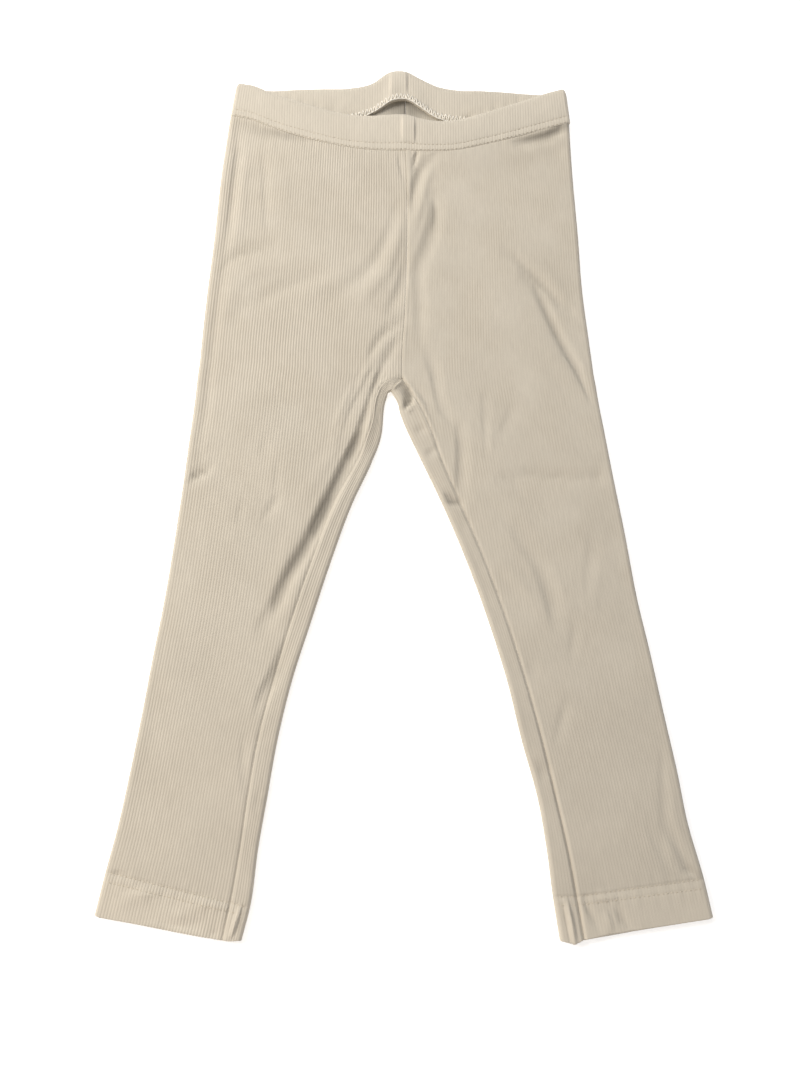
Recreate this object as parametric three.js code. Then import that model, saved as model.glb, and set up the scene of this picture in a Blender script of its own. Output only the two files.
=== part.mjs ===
// A child's rib-knit leggings lying flat: two one-piece legs and an elastic waistband.
// Millimetres. The waist points to +Y, the front faces +Z and the underside rests at z = 0.
// Each piece of cloth is a wall wrapped round one side: front layer, outer fold, back layer,
// and below the crotch an inner fold that carries the back half on to the inseam.
import * as THREE from "three";

// Cloth and its ribs
const clothWall = 1.1;
const seamGap = 0.3;
const backSeamGap = 0.6;
const ribPitch = 1.8;
const ribHeight = 0.35;
const stripRibs = 6;

// Heights of the laid garment
const legHeight = 4.5;
const waistSeamHeight = 5.5;
const waistSlopeLength = 26;
const foldReach = 2.4;
const edgeFade = 7;

// Hem: the cloth is turned up inside, so it is double there
const hemDepth = 25;
const hemTurning = 0.7;
const hemStep = 0.35;

// Waistband: doubled cloth round a flat elastic
const bandWall = 2.6;
const bandLayerGap = 0.7;
const bandStitchDepth = 4.5;
const bandStitchDip = 0.35;
const bandFullness = 0.5;
const bandEdgeRound = 0.7;

// Spacing of the plain lines inside the wall, and how closely lines follow their curve
const plainSpacing = 2.7;
const backLines = 10;
const foldSteps = 5;
const sampleStep = 2;
const followWithin = 0.38;
const seamFollow = 0.08;
const ribsPerGroup = 1;

// Centre of the outline, moved to the origin
const middle = { x: 0, y: 0.9 };

// Sections of the wearer's right leg from the waist seam to the hem edge. outer is where the
// outer fold begins, seam is the centre front and then the inseam, and inner is the centre
// back and then where the inner fold begins.
const sectionColumns = ["outerX", "outerY", "seamX", "seamY", "innerX", "innerY"];
const rightLegSections = [
  [-118, 249.5, 1.5, 224.5, 1.5, 224.5],
  [-122.5, 207.5, 2.5, 192, 2.5, 192],
  [-125.5, 158.5, 2.5, 151, 2.5, 151],
  [-129, 115, 1, 106.5, 1, 106.5],
  [-131, 83, -1, 72.5, -1, 72.5],
  [-131.5, 72.5, -1, 58, -6.5, 51.5],
  [-132, 66, -8, 57.5, -9.5, 51],
  [-132.5, 60.5, -13.5, 54, -11.5, 48.5],
  [-133, 53, -17.5, 46, -14, 42.5],
  [-134, 38.5, -20, 29.5, -15.5, 23.5],
  [-136, 17.5, -28, 6.5, -22.5, 3],
  [-138.5, -10.5, -43.5, -23.5, -35, -25],
  [-142.5, -49.5, -57.5, -62, -48.5, -63.5],
  [-147, -87.5, -69.5, -99.5, -60, -100.5],
  [-152.5, -124, -79.5, -135, -71, -136.5],
  [-157.5, -159.5, -88, -171, -79, -172],
  [-163, -195, -93.5, -206.5, -84.5, -207],
  [-168, -223.5, -97, -235.5, -89, -236],
  [-173.5, -248, -101, -262, -92, -264],
  [-178.5, -272.5, -105.5, -284, -97, -285.5],
];
const leftLegSections = [
  [113, 246, 1.5, 224.5, 1.5, 224.5],
  [114, 207.5, 2.5, 192, 2.5, 192],
  [116, 160.5, 2.5, 151, 2.5, 151],
  [117.5, 117.5, 1, 106.5, 1, 106.5],
  [120.5, 83, -1, 72.5, -1, 72.5],
  [121.5, 72, -1, 58, -6.5, 51.5],
  [122, 66.5, 2.5, 52.5, -4, 47.5],
  [122.5, 61, 6.5, 46, -1.5, 42.5],
  [123.5, 54, 11.5, 37.5, 0, 36],
  [125, 41.5, 17.5, 24, 3.5, 25.5],
  [128, 21, 24, 5, 13.5, 4],
  [132, -7, 35, -22.5, 26, -23],
  [138, -46, 51, -62, 42, -62],
  [143.5, -86, 64, -99.5, 55, -99.5],
  [150, -120.5, 75, -136.5, 66, -136.5],
  [156.5, -158, 84, -172, 74, -172],
  [162.5, -191.5, 91.5, -207, 83, -207],
  [167, -221, 97.5, -236, 87.5, -236.5],
  [174.5, -252, 102, -265, 90.5, -265],
  [178.5, -273.5, 105, -285.5, 93.5, -286],
];
const crotchRow = 5;

// Sections of the waistband from the right side fold to the left one: the lower and upper
// edge of its front and of its back.
const bandColumns = ["x", "frontLow", "frontTop", "backLow", "backTop"];
const bandSections = [
  [-118, 249.5, 274.5, 250.5, 275.5],
  [-105, 246.5, 272, 248.5, 272],
  [-93, 241.5, 267, 247, 271],
  [-74, 234.5, 260.5, 246.5, 272],
  [-56, 229.5, 254.5, 247, 272.5],
  [-38, 225.5, 250, 249.5, 273.5],
  [-22, 223.5, 249, 257.5, 277.5],
  [-9, 223, 250, 263, 285.5],
  [2, 223, 250, 264.5, 287],
  [12, 222.5, 247, 261.5, 282],
  [24, 222.5, 245, 254.5, 275.5],
  [38, 223.5, 246, 249, 272.5],
  [54, 227, 250.5, 246.5, 271],
  [70, 231, 256, 245, 270],
  [86, 235.5, 261.5, 244, 268.5],
  [100, 240, 266.5, 243.5, 268],
  [112, 244, 270, 245.5, 270.5],
];

// Folds of the front layer: the height at the middle of each, half its width, and its path.
const folds = [
  { height: -1.3, half: 4, path: [[-5, 83.5], [-12.5, 69], [-18, 52.5], [-25.5, 30.5], [-32, 14.5]] },
  { height: -1.7, half: 5, path: [[-29.5, 18.5], [-43, -10.5], [-57.5, -42], [-70, -65.5], [-83, -93.5], [-89.5, -106]] },
  { height: -0.9, half: 3.5, path: [[-1, 98], [-11, 91.5], [-19.5, 80], [-28.5, 60], [-34.5, 41.5], [-43, 20]] },
  { height: 1.1, half: 3.5, path: [[-1, 90.5], [-13, 83], [-22, 67.5], [-29.5, 51], [-38, 35], [-43.5, 16]] },
  { height: -0.9, half: 7, path: [[-3.5, 182], [-9, 162], [-17, 145], [-26.5, 132], [-39, 121], [-51.5, 112]] },
  { height: 0.8, half: 6, path: [[-2, 174.5], [-4, 152.5], [-10.5, 134], [-19, 123.5], [-27.5, 111]] },
  { height: -0.6, half: 6, path: [[-66, 132], [-84, 119.5], [-97, 109]] },
  { height: -0.5, half: 5, path: [[-106, 148], [-119, 139.5]] },
  { height: -0.5, half: 2.2, path: [[-112.5, 239.5], [-117, 186], [-120.5, 134.5], [-125, 99.5], [-130, 40]] },
  { height: -0.6, half: 4, path: [[-137, -8], [-128, -1], [-118, 3]] },
  { height: -0.5, half: 5, path: [[-84, -25.5], [-91, -38]] },
  { height: -1.1, half: 4, path: [[14.5, 219], [11.5, 204], [8.5, 191.5], [6.5, 173]] },
  { height: 0.9, half: 4.5, path: [[19, 212], [17.5, 190], [15, 160], [11.5, 138]] },
  { height: -0.8, half: 5, path: [[24, 192], [21, 164.5], [16, 150], [10, 132]] },
  { height: -0.8, half: 5, path: [[12, 77], [20, 61.5], [24, 48.5], [27, 36]] },
  { height: -0.6, half: 7, path: [[53, 46], [54, 23.5], [52, 4]] },
  { height: -0.8, half: 5, path: [[36.5, 31], [37.5, 1], [34, -20]] },
  { height: -0.9, half: 6, path: [[74, -46], [87, -76], [95, -102]] },
  { height: 0.8, half: 6, path: [[60, -58], [75.5, -93.5], [82, -112]] },
  { height: -0.5, half: 5, path: [[120, -44], [116, -69.5], [113, -90]] },
  { height: -0.4, half: 5, path: [[44, -8], [87, -4.5], [130, -6.5]] },
  { height: -0.9, half: 5, path: [[66, 150], [83, 134.5], [96.5, 118.5], [108, 108], [118, 101]] },
  { height: 0.8, half: 6, path: [[79, 136], [96.5, 111], [110.5, 89.5]] },
  { height: -0.7, half: 5, path: [[75, 134], [90.5, 110], [101, 88.5], [119, 52]] },
  { height: -0.6, half: 6, path: [[70, 227], [94.5, 233.5], [109, 238]] },
  { height: 0.6, half: 6, path: [[64, 217], [88, 222], [106, 227]] },
  { height: -0.6, half: 6, path: [[-110, 239.5], [-98, 234.5], [-72, 228]] },
  { height: -0.4, half: 8, path: [[-95, 216], [-92, 170]] },
  { height: -0.5, half: 10, path: [[-122, -120], [-128, -160], [-131, -200]] },
  { height: -0.5, half: 9, path: [[128, -120], [136, -165], [142, -205]] },
];

const clamp = (value, low, high) => Math.min(high, Math.max(low, value));
const mix = (a, b, t) => a + (b - a) * t;
const smooth = (value) => {
  const t = clamp(value, 0, 1);
  return t * t * (3 - 2 * t);
};

// A row's numbers under their column names.
function named(columns, row) {
  return Object.fromEntries(columns.map((column, i) => [column, row[i]]));
}

// A smooth curve through table rows placed at knots, one value for each column.
function curveThrough(knots, rows, columns) {
  const slopes = rows.map((row, i) => {
    const before = Math.max(0, i - 1);
    const after = Math.min(rows.length - 1, i + 1);
    const back = Math.max(knots[i] - knots[before], 1e-9);
    const ahead = Math.max(knots[after] - knots[i], 1e-9);
    const slope = {};
    for (const column of columns) {
      const fromBack = (row[column] - rows[before][column]) / back;
      const toAhead = (rows[after][column] - row[column]) / ahead;
      if (i === 0) slope[column] = toAhead;
      else if (i === rows.length - 1) slope[column] = fromBack;
      else slope[column] = (fromBack * ahead + toAhead * back) / (back + ahead);
    }
    return slope;
  });
  return (at) => {
    let i = 0;
    while (i < knots.length - 2 && at > knots[i + 1]) i += 1;
    const span = knots[i + 1] - knots[i];
    const t = clamp((at - knots[i]) / span, 0, 1);
    const value = {};
    for (const column of columns) {
      const start = (1 + 2 * t) * (1 - t) * (1 - t) * rows[i][column];
      const leave = t * (1 - t) * (1 - t) * span * slopes[i][column];
      const arrive = t * t * (t - 1) * span * slopes[i + 1][column];
      const end = t * t * (3 - 2 * t) * rows[i + 1][column];
      value[column] = start + leave + arrive + end;
    }
    return value;
  };
}

const bandRows = bandSections.map((row) => named(bandColumns, row));
const bandAt = curveThrough(bandRows.map((row) => row.x), bandRows, bandColumns);

// The centre front and centre back lines, which both legs follow down to the crotch.
const centreRows = rightLegSections.slice(0, crotchRow + 1).map((row) => named(sectionColumns, row));
const centreLine = (x, y) => {
  const rows = centreRows.map((row) => ({ x: row[x] }));
  return curveThrough(centreRows.map((row) => -row[y]), rows, ["x"]);
};
const frontCentre = centreLine("seamX", "seamY");
const backCentre = centreLine("innerX", "innerY");

// How near a point lies to a fold's path, and how far along the path.
function nearPath(x, y, path) {
  let best = Infinity;
  let along = 0;
  let length = 0;
  for (let i = 1; i < path.length; i += 1) {
    const [ax, ay] = path[i - 1];
    const dx = path[i][0] - ax;
    const dy = path[i][1] - ay;
    const size = Math.hypot(dx, dy);
    const t = clamp(((x - ax) * dx + (y - ay) * dy) / (size * size), 0, 1);
    const away = Math.hypot(x - ax - t * dx, y - ay - t * dy);
    if (away < best) {
      best = away;
      along = length + t * size;
    }
    length += size;
  }
  return { away: best, share: along / length };
}

function foldHeight(x, y) {
  let sum = 0;
  for (const fold of folds) {
    const near = nearPath(x, y, fold.path);
    if (near.away >= fold.half) continue;
    const across = Math.cos((near.away / fold.half) * (Math.PI / 2)) ** 2;
    const ends = Math.sin(Math.PI * clamp(mix(0.06, 0.94, near.share), 0, 1)) ** 0.6;
    sum += fold.height * across * ends;
  }
  return clamp(sum, -1.8, 1.5);
}

// Vertices and triangles of one closed body, built from lines that are zipped in pairs.
class Body {
  constructor() {
    this.points = [];
    this.faces = [];
  }

  vertex(point, at) {
    this.points.push(point);
    return { index: this.points.length - 1, at };
  }

  // Fills the strip between two lines, whichever next point comes first.
  zip(a, b) {
    let i = 0;
    let j = 0;
    while (i < a.length - 1 || j < b.length - 1) {
      const stepA = i < a.length - 1 ? a[i + 1].at : Infinity;
      const stepB = j < b.length - 1 ? b[j + 1].at : Infinity;
      if (stepA <= stepB) {
        this.face(a[i].index, b[j].index, a[i + 1].index);
        i += 1;
      } else {
        this.face(a[i].index, b[j].index, b[j + 1].index);
        j += 1;
      }
    }
  }

  face(a, b, c) {
    if (a !== b && b !== c && a !== c) this.faces.push(a, b, c);
  }

  geometry() {
    const corners = this.points.map((p) => new THREE.Vector3(p[0], p[1], p[2]));
    let volume = 0;
    for (let i = 0; i < this.faces.length; i += 3) {
      const [a, b, c] = [0, 1, 2].map((k) => corners[this.faces[i + k]]);
      volume += a.dot(new THREE.Vector3().crossVectors(b, c));
    }
    const index = volume < 0 ? this.faces.slice().reverse() : this.faces;
    const geometry = new THREE.BufferGeometry().setFromPoints(corners);
    geometry.setIndex(index);
    geometry.computeVertexNormals();
    return geometry;
  }
}

function distanceToChord(p, a, b) {
  const ab = [b[0] - a[0], b[1] - a[1], b[2] - a[2]];
  const ap = [p[0] - a[0], p[1] - a[1], p[2] - a[2]];
  const size = ab[0] * ab[0] + ab[1] * ab[1] + ab[2] * ab[2];
  const t = size > 0 ? clamp((ap[0] * ab[0] + ap[1] * ab[1] + ap[2] * ab[2]) / size, 0, 1) : 0;
  return Math.hypot(ap[0] - t * ab[0], ap[1] - t * ab[1], ap[2] - t * ab[2]);
}

// The few places along a set of like curves where they need a point to stay within the
// allowed distance, from a start to an end.
function knotsFor(curves, start, end, within) {
  const count = Math.max(1, Math.ceil((end - start) / sampleStep));
  const places = Array.from({ length: count + 1 }, (_, i) => mix(start, end, i / count));
  const sampled = curves.map((curve) => places.map(curve));
  const kept = new Set([0, count]);
  const split = (from, to) => {
    let worst = within;
    let where = -1;
    for (const samples of sampled)
      for (let i = from + 1; i < to; i += 1) {
        const off = distanceToChord(samples[i], samples[from], samples[to]);
        if (off > worst) {
          worst = off;
          where = i;
        }
      }
    if (where < 0) return;
    kept.add(where);
    split(from, where);
    split(where, to);
  };
  split(0, count);
  return [...kept].sort((a, b) => a - b).map((i) => places[i]);
}

// One leg's shape: where its layers lie at any distance along it from the waist.
class LegShape {
  constructor(sections, side) {
    this.rows = sections.map((row) => named(sectionColumns, row));
    this.side = side;
    this.knots = [0];
    for (let i = 1; i < this.rows.length; i += 1) {
      const here = this.rows[i];
      const last = this.rows[i - 1];
      const dx = (here.outerX + here.seamX - last.outerX - last.seamX) / 2;
      const dy = (here.outerY + here.seamY - last.outerY - last.seamY) / 2;
      this.knots.push(this.knots[i - 1] + Math.hypot(dx, dy));
    }
    this.length = this.knots[this.knots.length - 1];
    this.crotch = this.knots[crotchRow];
    const above = crotchRow + 1;
    this.upper = curveThrough(this.knots.slice(0, above), this.rows.slice(0, above), sectionColumns);
    this.lower = curveThrough(this.knots.slice(crotchRow), this.rows.slice(crotchRow), sectionColumns);
    this.widths = [];
    for (let at = this.length; at >= 0; at -= 1) {
      const width = this.frontWidth(at);
      const below = this.widths.length ? this.widths[0].most : 0;
      this.widths.unshift({ at, most: Math.max(width, below) });
    }
  }

  section(at) {
    const row = at < this.crotch ? this.upper(at) : this.lower(at);
    if (at < this.crotch) {
      row.seamX = frontCentre(-row.seamY).x;
      row.innerX = backCentre(-row.innerY).x;
    }
    const shift = (this.side * seamGap * 2) / 3;
    const outer = [row.outerX + shift, row.outerY];
    const seam = [row.seamX + shift, row.seamY];
    const inner = [row.innerX + shift, row.innerY];
    const width = Math.hypot(seam[0] - outer[0], seam[1] - outer[1]);
    const outward = [(outer[0] - seam[0]) / width, (outer[1] - seam[1]) / width];
    const strip = Math.hypot(inner[0] - seam[0], inner[1] - seam[1]);
    const inward = strip > 1e-6 ? [(inner[0] - seam[0]) / strip, (inner[1] - seam[1]) / strip] : [0, 0];
    return { outer, seam, inner, width, outward, strip, inward };
  }

  frontWidth(at) {
    return this.section(at).width;
  }

  // The widest front from here to the hem: the ribs that still run here.
  ribWidth(at) {
    const i = clamp(at, 0, this.length - 1e-6);
    const low = Math.floor(i);
    const a = this.widths[Math.min(low, this.widths.length - 1)].most;
    const b = this.widths[Math.min(low + 1, this.widths.length - 1)].most;
    return mix(a, b, i - low);
  }

  // Where a rib at this distance from the outer fold runs into the seam.
  ribEnd(distance) {
    if (distance < this.ribWidth(this.length)) return this.length;
    let low = 0;
    let high = this.length;
    for (let i = 0; i < 40; i += 1) {
      const at = (low + high) / 2;
      if (this.ribWidth(at) > distance) low = at;
      else high = at;
    }
    return low;
  }

  // The layers' upper ends follow the edge of the waistband above them.
  followBand(point, at, edge) {
    const fade = 1 - smooth(at / 90);
    if (fade <= 0) return point;
    const top = this.section(0);
    const x = clamp(point[0], -118, 112);
    const share = (point[0] - top.outer[0]) / (top.seam[0] - top.outer[0]);
    const straight = mix(top.outer[1], top.seam[1], share);
    const gap = edge === "backLow" ? backSeamGap : seamGap;
    return [point[0], point[1] + (bandAt(x)[edge] - gap - straight) * fade];
  }

  hem(at) {
    return smooth((at - (this.length - hemDepth - 0.75)) / 1.5);
  }

  wall(at) {
    return clothWall + hemTurning * smooth((at - (this.length - hemDepth - 6)) / 6);
  }

  flatHeight(at) {
    const rise = waistSeamHeight - legHeight;
    return legHeight + rise * (1 - smooth(at / waistSlopeLength)) + hemStep * this.hem(at);
  }

  topHeight(x, y, at, section) {
    const fromOuter = Math.hypot(x - section.outer[0], y - section.outer[1]);
    const fromInner = Math.hypot(x - section.inner[0], y - section.inner[1]);
    let fade = smooth(fromOuter / edgeFade);
    if (at > this.crotch) fade *= smooth(fromInner / (edgeFade / 2));
    fade *= 1 - 0.7 * this.hem(at);
    fade *= smooth(at / 12 + 0.3);
    return this.flatHeight(at) + fade * foldHeight(x, y);
  }

  // Front layer, at a share of the way from the outer fold to the seam.
  front(at, share, inside, relief) {
    const section = this.section(at);
    const reach = share * (1 - seamGap / 2 / section.width);
    let x = mix(section.outer[0], section.seam[0], reach);
    let y = mix(section.outer[1], section.seam[1], reach);
    [x, y] = this.followBand([x, y], at, "frontLow");
    const height = this.topHeight(x, y, at, section) + relief;
    return [x, y, inside ? height - relief - this.wall(at) : height];
  }

  // The part of the back half that shows beside the inseam, from the inner fold to the seam.
  strip(at, share, inside, relief) {
    const section = this.section(at);
    const reach = share * (1 - seamGap / 2 / section.strip);
    const x = mix(section.inner[0], section.seam[0], reach);
    const y = mix(section.inner[1], section.seam[1], reach);
    const height = this.topHeight(x, y, at, section) + relief;
    return [x, y, inside ? height - relief - this.wall(at) : height];
  }

  // Back layer, from the outer fold to the inner one; its underside rests at zero.
  back(at, share, inside) {
    const section = this.section(at);
    let x = mix(section.outer[0], section.inner[0], share);
    let y = mix(section.outer[1], section.inner[1], share);
    if (at < this.crotch) [x, y] = this.followBand([x, y], at, "backLow");
    return [x, y, inside ? this.wall(at) : 0];
  }

  // A point round a fold; turn runs from 1 on the front layer to -1 on the back layer.
  fold(at, turn, inside, outerSide) {
    const section = this.section(at);
    const root = outerSide ? section.outer : section.inner;
    const out = outerSide ? section.outward : section.inward;
    const wall = inside ? this.wall(at) : 0;
    const angle = (turn * Math.PI) / 2;
    const height = this.flatHeight(at);
    const reach = (foldReach - wall) * Math.cos(angle);
    const x = root[0] + out[0] * reach;
    let y = root[1] + out[1] * reach;
    if (outerSide) {
      const onFront = this.followBand([x, y], at, "frontLow")[1];
      const onBack = this.followBand([x, y], at, "backLow")[1];
      y = mix(onFront, onBack, (1 - Math.sin(angle)) / 2);
    }
    return [x, y, height / 2 + (height / 2 - wall) * Math.sin(angle)];
  }
}

// All the lines of one skin of a leg, from the front seam edge round to the back seam edge.
function legSkin(body, leg, inside) {
  const line = (curve, knots) => knots.map((at) => body.vertex(curve(at), at));
  const spacing = inside ? plainSpacing : ribPitch / 2;
  const most = leg.ribWidth(0);
  const groupSize = inside ? 1 : 2 * ribsPerGroup;
  const ribs = [];
  for (let k = 1; k * spacing < most - spacing / 3; k += 1) ribs.push(k);

  const frontAt = (k) => (at) => {
    const share = Math.min(1, (k * spacing) / leg.ribWidth(at));
    return leg.front(at, share, inside, !inside && k % 2 ? ribHeight : 0);
  };
  const seamAt = (at) => leg.front(at, 1, inside, 0);

  // Ribs in groups that share their knots; each rib that meets the seam ends on it.
  const ends = ribs.map((k) => leg.ribEnd(k * spacing));
  const lines = [];
  for (let first = 0; first < ribs.length; first += groupSize) {
    const group = ribs.slice(first, first + groupSize);
    const longest = ends[first];
    const knots = knotsFor(group.map(frontAt), 0, longest, followWithin);
    group.forEach((k, i) => {
      const end = ends[first + i];
      const own = knots.filter((at) => at < end - spacing);
      own.push(end);
      lines.push(line(frontAt(k), own));
    });
  }
  const fullLength = ends.filter((end) => end === leg.length).length;
  const firstShort = fullLength < ends.length ? ends[fullLength] : 0;
  const lastEnd = ends[ends.length - 1];
  const upper = line(seamAt, knotsFor([seamAt], 0, lastEnd, seamFollow).slice(0, -1));
  const tail = line(seamAt, knotsFor([seamAt], firstShort, leg.length, seamFollow).slice(1));
  const last = (list) => list[list.length - 1];
  const seamLine = [...upper, last(last(lines))];
  const strips = [[seamLine.slice(), last(lines)]];
  for (let i = lines.length - 1; i > fullLength; i -= 1) {
    const along = knotsFor([seamAt], ends[i], ends[i - 1], seamFollow).slice(1, -1);
    const onSeam = [...line(seamAt, along), last(lines[i - 1])];
    seamLine.push(...onSeam);
    strips.push([[...lines[i], ...onSeam], lines[i - 1]]);
  }
  seamLine.push(...tail);
  strips.push([[...lines[fullLength], ...tail], lines[fullLength - 1]]);
  for (let i = fullLength - 1; i > 0; i -= 1) strips.push([lines[i], lines[i - 1]]);

  // Round the outer fold, across the back layer and round the inner fold.
  const turns = Array.from({ length: foldSteps + 1 }, (_, i) => 1 - (2 * i) / foldSteps);
  const outerFold = turns.map((turn) => (at) => leg.fold(at, turn, inside, true));
  const foldKnots = knotsFor(outerFold, 0, leg.length, followWithin);
  const outerLines = outerFold.map((curve) => line(curve, foldKnots));
  const shares = Array.from({ length: backLines }, (_, i) => (i + 1) / backLines);
  const backCurves = shares.map((share) => (at) => leg.back(at, share, inside));
  const backKnots = (curves, within) => [
    ...knotsFor(curves, 0, leg.crotch, within),
    ...knotsFor(curves, leg.crotch, leg.length, followWithin).slice(1),
  ];
  const centreCurve = backCurves[backLines - 1];
  const sharedKnots = backKnots(backCurves, followWithin);
  const centreKnots = backKnots([centreCurve], seamFollow);
  const acrossBack = backCurves.map((curve) => line(curve, curve === centreCurve ? centreKnots : sharedKnots));
  const run = [lines[0], ...outerLines, ...acrossBack];
  for (let i = 1; i < run.length; i += 1) strips.push([run[i - 1], run[i]]);

  const centreBack = last(acrossBack).filter((v) => v.at <= leg.crotch);
  const innerRoot = last(acrossBack).filter((v) => v.at >= leg.crotch);
  const innerTurns = turns.slice().reverse().slice(1);
  const innerFold = innerTurns.map((turn) => (at) => leg.fold(at, turn, inside, false));
  const innerKnots = knotsFor(innerFold, leg.crotch, leg.length, followWithin);
  const innerLines = innerFold.map((curve) => line(curve, innerKnots));
  const stripCount = inside ? 3 : 2 * stripRibs;
  const stripCurves = Array.from({ length: stripCount }, (_, i) => (at) => {
    const edge = i === stripCount - 1;
    return leg.strip(at, (i + 1) / stripCount, inside, !inside && !edge && i % 2 === 0 ? ribHeight : 0);
  });
  const stripEdge = stripCurves[stripCount - 1];
  const stripKnots = knotsFor(stripCurves, leg.crotch, leg.length, followWithin);
  const edgeKnots = knotsFor([stripEdge], leg.crotch, leg.length, seamFollow);
  const stripLines = stripCurves.map((curve) => line(curve, curve === stripEdge ? edgeKnots : stripKnots));
  const innerRun = [innerRoot, ...innerLines, ...stripLines];
  for (let i = 1; i < innerRun.length; i += 1) strips.push([innerRun[i - 1], innerRun[i]]);
  for (const [a, b] of strips) {
    if (inside) body.zip(b, a);
    else body.zip(a, b);
  }

  const order = (vertices) => vertices.map((v, i) => ({ index: v.index, at: i / (vertices.length - 1) }));
  const starts = [seamLine, ...lines.slice().reverse(), ...outerLines, ...acrossBack];
  const crotchStart = [innerRoot, ...innerLines, ...stripLines];
  const hemLines = lines.slice(0, fullLength).reverse();
  const hemRun = [seamLine, ...hemLines, ...outerLines, ...acrossBack, ...innerLines, ...stripLines];
  return {
    frontSeam: seamLine,
    waist: order(starts.map((own) => own[0])),
    centreBack,
    crotch: order(crotchStart.map((own) => own[0])),
    backSeam: last(stripLines),
    hem: order(hemRun.map(last)),
  };
}

// Share of the way along the points of an edge, by distance, so two edges can be zipped.
function byDistance(body, edge) {
  let run = 0;
  const placed = edge.map((v, i) => {
    if (i > 0) {
      const a = body.points[edge[i - 1].index];
      const b = body.points[v.index];
      run += Math.hypot(b[0] - a[0], b[1] - a[1], b[2] - a[2]);
    }
    return { index: v.index, run };
  });
  return placed.map((v) => ({ index: v.index, at: v.run / run }));
}

function legBody(sections, side) {
  const leg = new LegShape(sections, side);
  const body = new Body();
  const outside = legSkin(body, leg, false);
  const inside = legSkin(body, leg, true);
  body.zip(inside.frontSeam, outside.frontSeam);
  body.zip(outside.centreBack, inside.centreBack);
  body.zip(outside.backSeam, inside.backSeam);
  body.zip(byDistance(body, outside.waist), byDistance(body, inside.waist));
  body.zip(byDistance(body, outside.crotch), byDistance(body, inside.crotch));
  body.zip(byDistance(body, inside.hem), byDistance(body, outside.hem));
  return body;
}

// One line round the flattened ring of the waistband. rise is the share of the way from its
// lower edge to its upper one; depth runs from the outer face, 0, to the inner face, 1.
function bandPoint(around, rise, depth, relief) {
  const first = bandRows[0].x;
  const lastX = bandRows[bandRows.length - 1].x;
  const front = lastX - first;
  const turnLength = Math.PI * foldReach;
  const bulge = Math.sin(Math.PI * clamp((rise - 0.2) / 0.8, 0, 1)) * bandFullness;
  const dip = rise > 0.02 && rise < 0.3 ? bandStitchDip : 0;
  const edge = Math.sin(Math.PI * depth) * bandEdgeRound * (rise > 0.5 ? 1 : 0);
  const frontZ = mix(bandWall * 2 + bandLayerGap, bandWall + bandLayerGap, depth);
  const backZ = mix(0, bandWall, depth);
  const lift = depth === 0 ? bulge - dip + relief : 0;
  const at = around * (2 * front + 2 * turnLength);
  const place = (x, low, top, z) => [x, mix(low, top, rise) + edge, z];
  if (at <= front) {
    const x = first + at;
    const row = bandAt(x);
    const centre = 0.9 * Math.exp(-(((x - 5) / 9) ** 2)) * (depth === 0 ? 1 : 0);
    return place(x, row.frontLow, row.frontTop, frontZ + lift + centre);
  }
  if (at <= front + turnLength || at > 2 * front + turnLength) {
    const leftSide = at <= front + turnLength;
    const turn = leftSide ? (at - front) / turnLength : 1 - (at - 2 * front - turnLength) / turnLength;
    const row = leftSide ? bandRows[bandRows.length - 1] : bandRows[0];
    const angle = (1 - 2 * turn) * (Math.PI / 2);
    const half = bandWall + bandLayerGap / 2;
    const radius = mix(half, bandLayerGap / 2, depth);
    const out = mix(foldReach, bandLayerGap / 2, depth) * Math.cos(angle) * (leftSide ? 1 : -1);
    const share = (1 - Math.sin(angle)) / 2;
    const low = mix(row.frontLow, row.backLow, share);
    const top = mix(row.frontTop, row.backTop, share);
    const faceLift = (1 - share) * (lift - relief);
    return place(row.x + out, low, top, half + radius * Math.sin(angle) + faceLift);
  }
  const x = lastX - (at - front - turnLength);
  const row = bandAt(x);
  const reliefBack = depth === 1 ? relief : 0;
  return place(x, row.backLow, row.backTop, backZ + reliefBack);
}

function waistbandBody() {
  const body = new Body();
  const front = bandRows[bandRows.length - 1].x - bandRows[0].x;
  const turnLength = Math.PI * foldReach;
  const total = 2 * front + 2 * turnLength;
  const spread = (start, end, step) => {
    const count = Math.max(1, Math.round((end - start) / step));
    return Array.from({ length: count }, (_, i) => mix(start, end, i / count) / total);
  };
  const plainStep = 4;
  const turnStep = turnLength / foldSteps;
  const knots = (frontStep, backStep) => [
    ...spread(0, front, frontStep),
    ...spread(front, front + turnLength, turnStep),
    ...spread(front + turnLength, 2 * front + turnLength, backStep),
    ...spread(2 * front + turnLength, total, turnStep),
  ];
  const ring = (places, rise, depth, ribbed) => {
    const vertices = places.map((at, i) => {
      const relief = ribbed(at * total) && i % 2 ? ribHeight : 0;
      return body.vertex(bandPoint(at, rise, depth, relief), at);
    });
    vertices.push({ index: vertices[0].index, at: 1 });
    return vertices;
  };
  const onFront = (at) => at > 0 && at < front;
  const onBack = (at) => at > front + turnLength && at < 2 * front + turnLength;
  const never = () => false;
  const outerKnots = knots(ribPitch / 2, plainStep);
  const innerKnots = knots(plainStep, ribPitch / 2);
  const edgeKnots = knots(plainStep, plainStep);
  const depthOf = 24.5;
  const stitch = bandStitchDepth / depthOf;
  const rings = [
    ring(outerKnots, 0, 0, onFront),
    ring(outerKnots, stitch, 0, onFront),
    ring(outerKnots, 1, 0, onFront),
    ring(edgeKnots, 1, 0.5, never),
    ring(innerKnots, 1, 1, onBack),
    ring(innerKnots, 0, 1, onBack),
  ];
  rings.forEach((own, i) => body.zip(own, rings[(i + 1) % rings.length]));
  return body;
}

// Rib-knit jersey: soft, matt cotton and lyocell in a warm cream
function jersey(colour) {
  return new THREE.MeshStandardMaterial({ color: colour, roughness: 0.85, metalness: 0 });
}

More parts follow.
